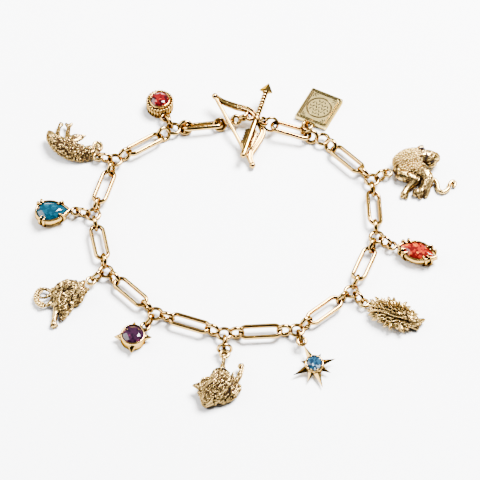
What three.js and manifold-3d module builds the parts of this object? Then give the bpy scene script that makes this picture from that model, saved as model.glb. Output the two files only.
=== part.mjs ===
// A charm bracelet lying as a closed loop: paperclip links, rings, eleven charms and a bow-and-arrow toggle.
// Millimetres, +Z up; the bracelet rests on z = 0 and +Y points away from the viewer.
import * as THREE from 'three';
import { mergeVertices } from 'three/addons/utils/BufferGeometryUtils.js';
import Module from 'manifold-3d';

const wasm = await Module();
wasm.setup();

// Driving dimensions of the chain
const longLink = { length: 9.2, width: 3.3, wire: 0.5, height: 0.8 };
const smallRing = { across: 3.4, wire: 0.5 };
const middleRing = { across: 3.4, wire: 0.5 };
const jumpRing = { across: 3.3, wire: 0.4 };
const castLoop = { across: 2.3, wire: 0.45, height: 1.5, lowHeight: 1.4 };
const linkPlay = 0.25;
const jumpPlay = 0.25;
const solderBite = 0.15;
const chainHeight = 1.45;

// The toggle: a bow is its ring and an arrow its bar
const bow = {
  length: 18.8, depth: 5.9, limbWidth: 0.85, limbHeight: 1.0, stringWire: 0.6, tipBall: 0.55,
  lowTipHeight: 1.0, highTipHeight: 3.9, lowTipX: 1.72, lowTipY: 20.5,
};
const arrow = {
  length: 19.6, shaft: 0.8, head: 2.6, headLength: 2.4, vane: 1.5, vaneLength: 4.4, vaneThickness: 0.45,
  tailBall: 0.6, tailHeight: 2.75, headHeight: 4.65, tailX: -0.35, tailY: 21.6,
};
const claspRing = { across: 2.4, wire: 0.45 };
const claspEndRing = { across: 3.0, wire: 0.45 };
const rightLink = { across: 2.2, wire: 0.4 };
const rightRing = { across: 3.5, wire: 0.35 };
const claspEye = { across: 1.7, wire: 0.4 };
const claspPlay = 0.25;

// Charms
const drumCharm = { across: 6.1, height: 3.0, stone: 3.9, rim: 4.6, ribs: 12, ribDepth: 0.3 };
const pearCharm = { length: 6.9, width: 5.1, height: 2.6, wall: 0.35, prong: 0.8 };
const spikedCharm = { stone: 4.4, across: 5.2, height: 2.5, reach: 4.0, spike: 1.5 };
const starCharm = { stone: 3.2, across: 4.0, height: 2.0, longRay: 5.2, shortRay: 3.7, ray: 1.5, tilt: 8 };
const marquiseCharm = { length: 8.0, width: 4.5, height: 2.5, wall: 0.35, prong: 0.8 };
const plaque = {
  width: 7.5, height: 8.8, thickness: 1.2, border: 0.7, relief: 0.25, frame: 5.6, frameWall: 0.45, boss: 0.9,
  bail: 0.95,
};
const coiledTail = { length: 10 };
const curledTail = { length: 10 };
const boar = { length: 10 };
const spiny = { length: 12 };
const lion = { length: 10 };
const stoneGap = 0.12;

// Facets of the round forms
const facet = { ring: 10, wire: 5, linkEnds: 10, stone: 12, cone: 8, ball: 6, bead: 5, limb: 5, claw: 4 };

const colours = {
  gold: new THREE.MeshStandardMaterial({ color: 0xd9b36c, roughness: 0.22, metalness: 1 }),
  antique: new THREE.MeshStandardMaterial({ color: 0xc4ab7c, roughness: 0.4, metalness: 1 }),
  red: new THREE.MeshStandardMaterial({ color: 0xc62226, roughness: 0.08, metalness: 0 }),
  blue: new THREE.MeshStandardMaterial({ color: 0x0f6d8c, roughness: 0.08, metalness: 0 }),
  purple: new THREE.MeshStandardMaterial({ color: 0x3a1a3f, roughness: 0.08, metalness: 0 }),
  paleBlue: new THREE.MeshStandardMaterial({ color: 0x2f7fae, roughness: 0.08, metalness: 0 }),
  orange: new THREE.MeshStandardMaterial({ color: 0xe2502e, roughness: 0.08, metalness: 0 }),
};

const charmBracelet = new THREE.Group();
const bracelet = new THREE.Group();
charmBracelet.add(bracelet);

// Tools for shapes
const radians = THREE.MathUtils.degToRad;
const vector = (x, y, z = 0) => new THREE.Vector3(x, y, z);
const along = (degrees, distance = 1) =>
  vector(Math.cos(radians(degrees)) * distance, Math.sin(radians(degrees)) * distance);
const headingOf = (from, to) => THREE.MathUtils.radToDeg(Math.atan2(to.y - from.y, to.x - from.x));
const innerRadius = (ring) => ring.across / 2 - ring.wire;

// The turn that lays a flat ring's X axis along a heading, after rolling it about X and lifting its far end.
const turnOf = (heading, roll = 0, rise = 0) =>
  new THREE.Euler(radians(roll), radians(-rise), radians(heading), 'ZYX');

function placed(geometry, position, heading = 0, roll = 0, rise = 0) {
  const turn = new THREE.Quaternion().setFromEuler(turnOf(heading, roll, rise));
  return geometry.clone().applyMatrix4(new THREE.Matrix4().compose(position, turn, vector(1, 1, 1)));
}

function bare(geometry) {
  const copy = geometry.clone();
  copy.deleteAttribute('normal');
  copy.deleteAttribute('uv');
  return mergeVertices(copy, 1e-4);
}

function solidOf(geometry) {
  const shape = bare(geometry);
  const triVerts = new Uint32Array(shape.index.array);
  const mesh = (order) => new wasm.Manifold(
    new wasm.Mesh({ numProp: 3, vertProperties: shape.attributes.position.array, triVerts: order }));
  const solid = mesh(triVerts);
  return solid.volume() < 0 ? mesh(triVerts.map((v, i) => triVerts[i - (i % 3) + [0, 2, 1][i % 3]])) : solid;
}

function geometryOf(solid) {
  const mesh = solid.getMesh();
  const geometry = new THREE.BufferGeometry();
  geometry.setAttribute('position', new THREE.BufferAttribute(new Float32Array(mesh.vertProperties), 3));
  geometry.setIndex(new THREE.BufferAttribute(new Uint32Array(mesh.triVerts), 1));
  geometry.computeVertexNormals();
  return geometry;
}

const joined = (...shapes) => geometryOf(shapes.map(solidOf).reduce((whole, shape) => whole.add(shape)));
const cutBy = (shape, ...tools) => geometryOf(tools.reduce((rest, tool) => rest.subtract(solidOf(tool)),
  solidOf(shape)));

function addPiece(name, geometry, material, parent = bracelet) {
  const mesh = new THREE.Mesh(geometry, material);
  mesh.name = name;
  parent.add(mesh);
  return mesh;
}

const ringShape = (ring, sides = facet.ring) =>
  new THREE.TorusGeometry((ring.across - ring.wire) / 2, ring.wire / 2, facet.wire, sides);

function ball(centre, radii, turn = 0, segments = facet.ball) {
  const shape = new THREE.SphereGeometry(1, segments, Math.ceil(segments / 2)).rotateX(Math.PI / 2);
  return placed(shape.scale(...radii), centre, turn);
}

// A round bar from one point to another, its radius changing from the first to the second value.
function limb(from, to, startRadius, endRadius = startRadius, sides = facet.limb) {
  const axis = to.clone().sub(from);
  const shape = new THREE.CylinderGeometry(endRadius, startRadius, axis.length(), sides);
  const turn = new THREE.Quaternion().setFromUnitVectors(vector(0, 1, 0), axis.clone().normalize());
  const middle = from.clone().add(to).multiplyScalar(0.5);
  return shape.applyMatrix4(new THREE.Matrix4().compose(middle, turn, vector(1, 1, 1)));
}

// A tapering point of few sides.
const spike = (from, to, radius, sides = 4) => limb(from, to, radius, radius * 0.12, sides);

function sweep(points, width, height, steps, sides = 6) {
  const section = new THREE.Shape();
  for (let i = 0; i < sides; i += 1) {
    const angle = (i + 0.5) * 2 * Math.PI / sides;
    const x = Math.cos(angle) * height / 2;
    const y = Math.sin(angle) * width / 2;
    if (i === 0) section.moveTo(x, y);
    else section.lineTo(x, y);
  }
  section.closePath();
  const path = new THREE.CatmullRomCurve3(points);
  return new THREE.ExtrudeGeometry(section, { steps, extrudePath: path, bevelEnabled: false });
}

const lathe = (profile, sides) =>
  new THREE.LatheGeometry(profile.map(([r, z]) => new THREE.Vector2(r, z)), sides).rotateX(Math.PI / 2);

// The toggle's frames: local Y runs from the bow's low tip to its high tip, or from arrow tail to head.
const slope = (rise, length) => THREE.MathUtils.radToDeg(Math.atan2(rise, length));
const bowRise = slope(bow.highTipHeight - bow.lowTipHeight, bow.length);
const bowFrame = { foot: vector(bow.lowTipX, bow.lowTipY, bow.lowTipHeight), heading: 26 };
const arrowRise = slope(arrow.headHeight - arrow.tailHeight, arrow.length);
const arrowFrame = { foot: vector(arrow.tailX, arrow.tailY, arrow.tailHeight), heading: -17 };

function frameGroup(frame, rise) {
  const group = new THREE.Group();
  group.position.copy(frame.foot);
  group.rotation.copy(turnOf(frame.heading, rise));
  bracelet.add(group);
  group.updateMatrixWorld(true);
  return group;
}

const bowGroup = frameGroup(bowFrame, bowRise);
const arrowGroup = frameGroup(arrowFrame, arrowRise);

// Bow: a recurved limb of upright oval bar, a straight string, a ball at each tip and a loop inside the grip.
const bowLimb = [
  { out: 0.02, up: 1.0 }, { out: 0.16, up: 0.9 }, { out: 0.5, up: 0.78 }, { out: 0.86, up: 0.68 },
  { out: 1.0, up: 0.58 }, { out: 1.0, up: 0.42 }, { out: 0.92, up: 0.33 }, { out: 0.5, up: 0.22 },
  { out: 0.2, up: 0.16 }, { out: 0.05, up: 0.09 }, { out: 0.04, up: 0 },
];
const bowPoint = ({ out, up }) => vector(out * bow.depth, up * bow.length, 0);
const gripLoopReach = bow.depth - bow.limbWidth / 2 - innerRadius(claspRing);
const gripLoopPlace = bowPoint({ out: 1, up: 0.6 }).setX(gripLoopReach);
const bowShape = joined(
  sweep(bowLimb.map(bowPoint), bow.limbWidth, bow.limbHeight, 22),
  limb(bowPoint({ out: 0, up: 0 }), bowPoint({ out: 0, up: 1 }), bow.stringWire / 2),
  ball(bowPoint({ out: 0, up: 0 }), [bow.tipBall, bow.tipBall, bow.tipBall]),
  ball(bowPoint({ out: 0, up: 1 }), [bow.tipBall, bow.tipBall, bow.tipBall]),
  placed(ringShape(claspRing), gripLoopPlace, 0, 0),
);
addPiece('clasp_bow', bowShape, colours.gold, bowGroup);

// Arrow: a round shaft, a four-sided head, a chevron vane on each side, a tail ball and an eye at its middle.
const arrowAt = (share, side = 0, lift = 0) => vector(side, share * arrow.length, lift);
const headBase = 1 - arrow.headLength / arrow.length;
const eyePlace = arrowAt(0.49, arrow.shaft / 2 + claspEye.across / 2 - claspEye.wire * 0.8, 0.5);
function vane(side) {
  const reach = side * arrow.vane;
  const half = arrow.vaneLength / 2;
  const outline = new THREE.Shape();
  outline.moveTo(0, half);
  outline.lineTo(reach, half - Math.abs(reach) * 0.55);
  outline.lineTo(reach, -half - Math.abs(reach) * 0.1);
  outline.lineTo(reach * 0.5, -half + Math.abs(reach) * 0.15);
  outline.lineTo(0, -half);
  const shape = new THREE.ExtrudeGeometry(outline, { depth: arrow.vaneThickness, bevelEnabled: false });
  return placed(shape, arrowAt(0.27, 0, -arrow.vaneThickness / 2));
}
const arrowHead = new THREE.ConeGeometry(arrow.head / 2, arrow.headLength, 4).rotateY(Math.PI / 4);
const arrowShape = joined(
  limb(arrowAt(0.02), arrowAt(headBase + 0.02), arrow.shaft / 2, arrow.shaft / 2, facet.cone),
  placed(arrowHead, arrowAt(headBase + arrow.headLength / arrow.length / 2)),
  ball(arrowAt(0.02), [arrow.tailBall, arrow.tailBall, arrow.tailBall]),
  vane(1),
  vane(-1),
  placed(ringShape(claspEye), eyePlace, 0, 90),
);
addPiece('clasp_arrow', arrowShape, colours.gold, arrowGroup);

// The row of small rings from the grip's loop to the first long link, soldered into one row.
const gripLoop = bowGroup.localToWorld(gripLoopPlace.clone());
const rowHeading = 190;
const rowStep = 2 * innerRadius(claspRing) + solderBite;
const rowStart = 2 * innerRadius(claspRing) - claspPlay;
const rowEnd = innerRadius(claspRing) + innerRadius(claspEndRing) + solderBite;
const rowLength = rowStart + 2 * rowStep + rowEnd;
const endRingHeight = 1.15;
const rowAt = (distance) => {
  const place = gripLoop.clone().add(along(rowHeading, distance));
  place.z = THREE.MathUtils.lerp(gripLoop.z, endRingHeight, distance / rowLength);
  return place;
};
const leftEnd = rowAt(rowLength);
addPiece('clasp_rings_left', joined(
  placed(ringShape(claspRing), rowAt(rowStart), rowHeading, 80),
  placed(ringShape(claspRing), rowAt(rowStart + rowStep), rowHeading, -38),
  placed(ringShape(claspRing), rowAt(rowStart + 2 * rowStep), rowHeading, 50),
  placed(ringShape(claspEndRing), leftEnd, rowHeading, -30),
), colours.gold);

// The arrow's eye carries one small link and a large thin ring, which holds the last long link.
const eye = arrowGroup.localToWorld(eyePlace.clone());
const rightHeading = -6;
const rightFall = -28;
const rightDirection = vector(1, 0, 0).applyEuler(turnOf(rightHeading, 0, rightFall));
const rightLinkPlace = eye.clone().addScaledVector(
  rightDirection, innerRadius(claspEye) + innerRadius(rightLink) - claspPlay);
const rightEnd = rightLinkPlace.clone().addScaledVector(
  rightDirection, innerRadius(rightLink) + innerRadius(rightRing) - claspPlay);
addPiece('clasp_link_right',
  placed(ringShape(rightLink), rightLinkPlace, rightHeading, 8, rightFall), colours.gold);
addPiece('clasp_ring_right',
  placed(ringShape(rightRing, 12), rightEnd, rightHeading, 50, rightFall), colours.gold);

// Chain: the middle rings stand at the corners of an open polygon whose ends meet the toggle.
const cornerTurns = [-140, -101, -73, -40, -14, 9, 46, 74, 98, 139];
const ringStep = innerRadius(middleRing) + innerRadius(smallRing) + solderBite;
const linkStep = longLink.length / 2 - longLink.wire + innerRadius(smallRing) - linkPlay;
const pitch = 2 * (ringStep + linkStep);

// The first and the last long link lie a little slack between the toggle's rings and the chain.
const claspLink = { leftHeading: 187.8, leftSlack: 2.4, rightHeading: -14.8, rightSlack: 1.3 };
const claspReach = (ring) =>
  longLink.length - 2 * longLink.wire + innerRadius(ring) + innerRadius(smallRing) - 2 * linkPlay + ringStep;
const firstCorner = leftEnd.clone()
  .add(along(claspLink.leftHeading, claspReach(claspEndRing) - claspLink.leftSlack)).setZ(chainHeight);
const lastCorner = rightEnd.clone()
  .add(along(claspLink.rightHeading, claspReach(rightRing) - claspLink.rightSlack)).setZ(chainHeight);
const claspSpan = firstCorner.distanceTo(lastCorner);

// The bend of the whole route that brings its end back to the toggle, whatever the pitch is.
function routeBend() {
  let [least, most] = [0.4, 1.8];
  for (let i = 0; i < 40; i += 1) {
    const bend = (least + most) / 2;
    const end = cornerTurns.reduce((sum, turn) => sum.add(along(turn * bend, pitch)), vector(0, 0));
    if (end.length() > claspSpan) least = bend;
    else most = bend;
  }
  return least;
}

function chainCorners() {
  const bend = routeBend();
  const offsets = [vector(0, 0)];
  cornerTurns.forEach((turn) => offsets.push(offsets.at(-1).clone().add(along(turn * bend, pitch))));
  const square = headingOf(firstCorner, lastCorner) - headingOf(offsets[0], offsets.at(-1));
  return offsets.map((p) => p.clone().applyAxisAngle(vector(0, 0, 1), radians(square)).add(firstCorner));
}

const corners = chainCorners();

// Junctions: a small ring, a middle ring and a small ring, soldered into one piece at each corner.
const smallRingRolls = [-56, -78, -84, 80, 96, 82, 82, 98, 84, 78, -62];
const smallRingPlace = (corner, target) => {
  const place = corners[corner].clone().add(along(headingOf(corners[corner], target), ringStep));
  const roll = radians(smallRingRolls[corner]);
  place.z = (smallRing.across - smallRing.wire) / 2 * Math.abs(Math.sin(roll)) + smallRing.wire / 2;
  return place;
};
const targetBefore = (i) => (i === 0 ? leftEnd : corners[i - 1]);
const targetAfter = (i) => (i === corners.length - 1 ? rightEnd : corners[i + 1]);
corners.forEach((corner, i) => {
  const before = smallRingPlace(i, targetBefore(i));
  const after = smallRingPlace(i, targetAfter(i));
  const shape = joined(
    placed(ringShape(smallRing), before, headingOf(before, corner), smallRingRolls[i]),
    placed(ringShape(middleRing), corner, 0, 0),
    placed(ringShape(smallRing), after, headingOf(corner, after), smallRingRolls[i]),
  );
  addPiece(`junction_rings_${String(i + 1).padStart(2, '0')}`, shape, colours.gold);
});

// Long links: a round ring of upright oval wire drawn out into two straight sides.
const longLinkShape = (() => {
  const radius = (longLink.width - longLink.wire) / 2;
  const shape = new THREE.TorusGeometry(radius, longLink.wire / 2, facet.wire, facet.linkEnds)
    .scale(1, 1, longLink.height / longLink.wire);
  const stretch = (longLink.length - longLink.width) / 2;
  const position = shape.attributes.position;
  for (let i = 0; i < position.count; i += 1) {
    position.setX(i, position.getX(i) + Math.sign(position.getX(i)) * stretch);
  }
  return shape;
})();
const longLinkRolls = [36, 14, 6, -6, 4, -4, 5, 6, -8, 22, 5, 12];
longLinkRolls.forEach((roll, i) => {
  const from = i === 0 ? leftEnd : smallRingPlace(i - 1, targetAfter(i - 1));
  const to = i === corners.length ? rightEnd : smallRingPlace(i, targetBefore(i));
  const link = addPiece(`long_link_${String(i + 1).padStart(2, '0')}`, longLinkShape, colours.gold);
  link.position.copy(from).add(to).multiplyScalar(0.5);
  link.rotation.copy(turnOf(headingOf(from, to), roll, slope(to.z - from.z, 2 * linkStep)));
});

// Charms hang from the middle rings by upright jump rings; each starts from its own cast loop.
const jumpRoll = 84;
const standingHeight = (ring, roll) =>
  (ring.across - ring.wire) / 2 * Math.abs(Math.sin(radians(roll))) + ring.wire / 2;
const jumpHeight = standingHeight(jumpRing, jumpRoll);
const { height: loopHigh, lowHeight: loopLow } = castLoop;
const hangings = [
  { heading: 121, slack: 0.35, loopHeight: loopHigh }, { heading: 164, slack: 0, loopHeight: loopLow },
  { heading: 167, slack: 0, loopHeight: loopHigh }, { heading: 217, slack: 0, loopHeight: loopLow },
  { heading: 237, slack: 0, loopHeight: loopHigh }, { heading: 272, slack: 0, loopHeight: loopHigh },
  { heading: 288, slack: 0.6, loopHeight: 0 }, { heading: 312, slack: 0, loopHeight: loopLow },
  { heading: 325, slack: 0, loopHeight: loopHigh }, { heading: 30, slack: 0, loopHeight: loopHigh },
];
// The star rests on its bezel's near edge, which sets how high its loop stands.
const starRay = starCharm.height * 0.55;
const starLoopDistance = starCharm.longRay + castLoop.across / 2 - solderBite * 2;
const starLoopTurn = 115;
const starLift = starCharm.across / 2 * Math.sin(radians(starCharm.tilt));
hangings[6].loopHeight = starLift + starRay
  + starLoopDistance * Math.sin(radians(starLoopTurn)) * Math.sin(radians(starCharm.tilt));
const loopReach = (loopHeight) =>
  Math.sqrt(innerRadius(jumpRing) ** 2 - (jumpHeight - loopHeight) ** 2) + innerRadius(castLoop) - jumpPlay;

function addJumpRing(number, centre, heading) {
  const ring = addPiece(`jump_ring_${number}`, ringShape(jumpRing), colours.gold);
  ring.position.copy(centre);
  ring.rotation.copy(turnOf(heading, jumpRoll));
}

// The cast loop of one charm: the point where its shape starts, on its jump ring.
const loopPlaces = hangings.map(({ heading, slack, loopHeight }, i) => {
  const reach = innerRadius(middleRing) + innerRadius(jumpRing) - jumpPlay - slack / 2;
  const jumpPlace = corners[i].clone().add(along(heading, reach)).setZ(jumpHeight);
  addJumpRing(String(i + 1).padStart(2, '0'), jumpPlace, heading);
  return jumpPlace.clone().add(along(heading, loopReach(loopHeight) - slack / 2)).setZ(0);
});
// The boar hangs by a second jump ring turned flat between the first and its loop.
const flatJumpPlace = loopPlaces[5].clone().setZ(jumpHeight);
const boarLoopReach = 2 * innerRadius(castLoop) - jumpPlay;

function charmGroup(place, heading = 0) {
  const group = new THREE.Group();
  group.position.copy(place);
  group.rotation.z = radians(heading);
  bracelet.add(group);
  group.updateMatrixWorld(true);
  return group;
}

const loopShape = (height, roll = 0) => placed(ringShape(castLoop), vector(0, 0, height), 0, roll);

// Cut stones: a table, one facet to each side of the crown and of the pavilion, and a narrow girdle.
const stoneShares = { table: 0.62, crown: 0.3, girdle: 0.06, pavilion: 0.62, set: 0.12 };
const round = (u, v) => [u, v];
const pearOutline = ({ length, width }) => (u, v) =>
  (u > 0 ? [u, v] : [u * (2 * length / width - 1), v * Math.abs(v)]);
const marquiseOutline = ({ length, width }) => (u, v) => [u * length / width, v * Math.abs(v)];

function outlined(shape, outline) {
  const position = shape.attributes.position;
  for (let i = 0; i < position.count; i += 1) {
    const reach = Math.hypot(position.getX(i), position.getY(i));
    if (reach < 1e-6) continue;
    const [x, y] = outline(position.getX(i) / reach, position.getY(i) / reach);
    position.setXY(i, x * reach, y * reach);
  }
  return shape;
}

function stoneShape(radius, outline = round) {
  const half = stoneShares.girdle * radius;
  return outlined(lathe([
    [0, -stoneShares.pavilion * radius], [radius, -half], [radius, half],
    [stoneShares.table * radius, stoneShares.crown * radius], [0, stoneShares.crown * radius],
  ], facet.stone), outline);
}

// A cup round a stone: its inside runs at the stone gap from the rim down the pavilion to a closed foot.
function cupShape(radius, outerProfile, rimHeight, outline = round, sides = facet.stone) {
  const girdle = rimHeight - stoneShares.set * radius;
  const foot = girdle - stoneShares.pavilion * radius - 2 * stoneGap;
  const inside = [
    [radius + stoneGap, rimHeight],
    [radius + stoneGap, girdle - stoneShares.girdle * radius - stoneGap],
    [radius * 0.12, foot], [0, foot],
  ];
  return outlined(lathe([...outerProfile, ...inside], sides), outline);
}

function addStone(name, shape, material, group, centre, radius, rimHeight, heading = 0) {
  const stone = addPiece(name, shape, material, group);
  stone.position.set(centre.x, centre.y, rimHeight - stoneShares.set * radius);
  stone.rotation.z = radians(heading);
}

// Charm 1: a drum with upright ribs and a smooth bezel that stands above them.
{
  const { across, height, stone, rim, ribs, ribDepth } = drumCharm;
  const centre = vector((across + castLoop.across) / 2 - 2 * solderBite, 0);
  const rimHeight = height + 0.4;
  const body = cupShape(stone / 2, [
    [0, 0], [across / 2, 0.2], [across / 2, height - 0.4], [rim / 2, height], [rim / 2, rimHeight],
  ], rimHeight, round, ribs * 2);
  const position = body.attributes.position;
  for (let i = 0; i < position.count; i += 1) {
    const reach = Math.hypot(position.getX(i), position.getY(i));
    const turn = Math.atan2(position.getY(i), position.getX(i));
    const valley = Math.cos(turn * ribs) < 0 && reach > across / 2 - 0.1;
    if (valley) position.setXY(i, position.getX(i) * (1 - 2 * ribDepth / across),
      position.getY(i) * (1 - 2 * ribDepth / across));
  }
  const group = charmGroup(loopPlaces[0], 109);
  addPiece('round_charm_setting',
    joined(placed(body, centre), loopShape(hangings[0].loopHeight)), colours.gold, group);
  addStone('round_charm_stone', stoneShape(stone / 2), colours.red, group, centre, stone / 2, rimHeight);
}

// Claws stand round a cup at given places of its outline and rise just above the girdle.
function claws(size, outline, turns, top) {
  const half = size.width / 2 + size.wall + size.prong / 4;
  return turns.map((turn) => {
    const [x, y] = outline(Math.cos(radians(turn)), Math.sin(radians(turn)));
    const foot = vector(x * half * 0.8, y * half * 0.8, 0.1);
    return limb(foot, vector(x * half, y * half, top), size.prong * 0.4, size.prong * 0.5, facet.claw);
  });
}

function clawSetting(size, outline, turns) {
  const radius = size.width / 2;
  const cup = cupShape(radius - size.wall / 2, [
    [0, 0], [radius * 0.75, 0], [radius + size.wall, size.height * 0.45], [radius + size.wall, size.height],
  ], size.height, outline);
  return [cup, ...claws(size, outline, turns, size.height + 0.35)];
}

function addClawCharm(number, name, size, outline, turns, material, heading) {
  const radius = size.width / 2 - size.wall / 2;
  const lengthEnd = size.length / 2 + size.wall * size.length / size.width;
  const pearShift = outline(1, 0)[0] * size.width / 2 - size.length / 2;
  const centre = vector(lengthEnd + castLoop.across / 2 - solderBite - pearShift, 0);
  const group = charmGroup(loopPlaces[number - 1], heading);
  const body = joined(...clawSetting(size, outline, turns)
    .map((shape) => placed(shape, centre)), loopShape(hangings[number - 1].loopHeight));
  addPiece(`${name}_setting`, body, colours.gold, group);
  addStone(`${name}_stone`, stoneShape(radius, outline), material, group, centre, radius, size.height);
}

// Charm 3: a pear-shaped stone, its point towards the chain.
addClawCharm(3, 'pear_charm', pearCharm, pearOutline(pearCharm), [55, -55, 128, -128], colours.blue, 186);

// Charm 9: a marquise stone with a pair of claws on each side of both ends.
addClawCharm(9, 'marquise_charm', marquiseCharm, marquiseOutline(marquiseCharm),
  [50, 130, -50, -130], colours.orange, -20);

const bezelProfile = (across, height) =>
  [[0, 0], [across / 2 - 0.3, 0], [across / 2, 0.4], [across / 2, height]];

// Charm 5: a plain bezel with four cone spikes.
{
  const { stone, across, height, reach, spike: spikeAcross } = spikedCharm;
  const heading = 225;
  const centre = vector((across + castLoop.across) / 2 - solderBite, 0);
  const body = cupShape(stone / 2, bezelProfile(across, height), height);
  const spikes = [0, 86, 178, 266].map((turn) => limb(
    centre.clone().add(along(turn - heading, across / 2 - 0.3)).setZ(height * 0.5),
    centre.clone().add(along(turn - heading, reach)).setZ(height * 0.5), spikeAcross / 2, 0.12, facet.cone));
  const group = charmGroup(loopPlaces[4], heading);
  addPiece('spiked_charm_setting',
    joined(placed(body, centre), ...spikes, loopShape(hangings[4].loopHeight)), colours.gold, group);
  addStone('spiked_charm_stone', stoneShape(stone / 2), colours.purple, group, centre, stone / 2, height);
}

// Charm 7: eight tapering rays round a bezel, the whole star leaning back on its lowest ray.
{
  const { stone, across, height, longRay, shortRay, ray, tilt } = starCharm;
  const rays = [
    { turn: starLoopTurn, share: 1, size: longRay }, { turn: 208, share: 0.98, size: longRay },
    { turn: 288, share: 1.06, size: longRay }, { turn: 18, share: 0.9, size: longRay },
    { turn: 62, share: 0.8, size: shortRay }, { turn: 162, share: 0.8, size: shortRay },
    { turn: 250, share: 1.1, size: shortRay }, { turn: 332, share: 1.05, size: shortRay },
  ];
  const rayShapes = rays.map(({ turn, share, size }) => placed(
    new THREE.ConeGeometry(ray / 2, share * size, 4).rotateZ(-Math.PI / 2).translate(share * size / 2, 0, 0),
    vector(0, 0, starRay), turn));
  const body = cupShape(stone / 2, bezelProfile(across, height), height);
  const pit = lathe([
    [0, height - stoneShares.set * stone / 2 - stoneShares.pavilion * stone / 2 - 2 * stoneGap],
    [stone / 2 + stoneGap, height - stone / 2 * (stoneShares.set + stoneShares.girdle) - stoneGap],
    [stone / 2 + stoneGap, height + 0.5], [0, height + 0.5],
  ], facet.stone);
  const star = new THREE.Group();
  const group = charmGroup(loopPlaces[6]);
  group.add(star);
  star.position.copy(along(starLoopTurn + 180, starLoopDistance)).setZ(starLift);
  star.rotation.copy(turnOf(0, tilt));
  const loopPlace = along(starLoopTurn, starLoopDistance).setZ(starRay);
  addPiece('star_charm_setting', joined(cutBy(joined(body, ...rayShapes), pit),
    placed(ringShape(castLoop), loopPlace)), colours.gold, star);
  const gem = stoneShape(stone / 2);
  addStone('star_charm_stone', gem, colours.paleBlue, star, vector(0, 0), stone / 2, height);
}

// Animal charms are built from swellings, limbs and points, placed by shares of the figure's length.
// Their frame starts at the cast loop on the floor and keeps the bracelet's own directions.
const swelling = (size, { at, radii, turn = 0 }) => ball(vector(...at).multiplyScalar(size),
  radii.map((r) => r * size), turn, Math.max(...radii) > 0.1 ? facet.ball : facet.bead);
const member = (size, { from, to, thick, thin = thick }) =>
  limb(vector(...from).multiplyScalar(size), vector(...to).multiplyScalar(size), thick * size, thin * size);
const point = (size, { from, to, thick }) =>
  spike(vector(...from).multiplyScalar(size), vector(...to).multiplyScalar(size), thick * size);
function hoop(size, { at, radius, thick, roll = 0 }) {
  const shape = new THREE.TorusGeometry(radius * size, thick * size, facet.claw, facet.ring);
  return placed(shape, vector(...at).multiplyScalar(size), 0, roll);
}

function addFigure(number, name, size, parts, place = loopPlaces[number - 1], loopRoll = 0) {
  const shapes = [
    ...(parts.swellings ?? []).map((row) => swelling(size, row)),
    ...(parts.members ?? []).map((row) => member(size, row)),
    ...(parts.points ?? []).map((row) => point(size, row)),
    ...(parts.hoops ?? []).map((row) => hoop(size, row)),
    ...(parts.extra ?? []),
  ];
  addPiece(name, joined(...shapes, loopShape(hangings[number - 1].loopHeight, loopRoll)), colours.antique,
    charmGroup(place));
}

// Charm 2: a creature lying on its side, two forelegs and a leaf-shaped fin out, its fish tail coiled.
addFigure(2, 'coiled_tail_charm', coiledTail.length, {
  swellings: [
    { at: [-0.74, 0.26, 0.19], radii: [0.19, 0.16, 0.18], turn: -25 },
    { at: [-0.54, 0.14, 0.19], radii: [0.24, 0.16, 0.18], turn: -25 },
    { at: [-0.3, 0.04, 0.16], radii: [0.22, 0.13, 0.15], turn: -20 },
    { at: [-0.12, 0.03, 0.15], radii: [0.12, 0.1, 0.12] },
    { at: [-0.9, 0.38, 0.2], radii: [0.13, 0.12, 0.14] },
    { at: [-1.01, 0.36, 0.17], radii: [0.07, 0.09, 0.09] },
    { at: [-0.36, 0.34, 0.22], radii: [0.2, 0.09, 0.06], turn: 28 },
    { at: [-0.76, 0.82, 0.12], radii: [0.06, 0.07, 0.06] },
    { at: [0.03, 0.22, 0.2], radii: [0.09, 0.08, 0.08] },
  ],
  members: [
    { from: [-0.8, 0.35, 0.16], to: [-0.76, 0.82, 0.12], thick: 0.075, thin: 0.05 },
    { from: [-0.6, 0.25, 0.18], to: [-0.58, 0.72, 0.13], thick: 0.07, thin: 0.045 },
    { from: [-0.58, 0.7, 0.13], to: [-0.57, 0.86, 0.12], thick: 0.045, thin: 0.085 },
    { from: [-0.1, 0.05, 0.14], to: [-0.02, 0.12, 0.16], thick: 0.08, thin: 0.07 },
  ],
  hoops: [{ at: [0.03, 0.22, 0.2], radius: 0.11, thick: 0.055, roll: 30 }],
});

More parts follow.
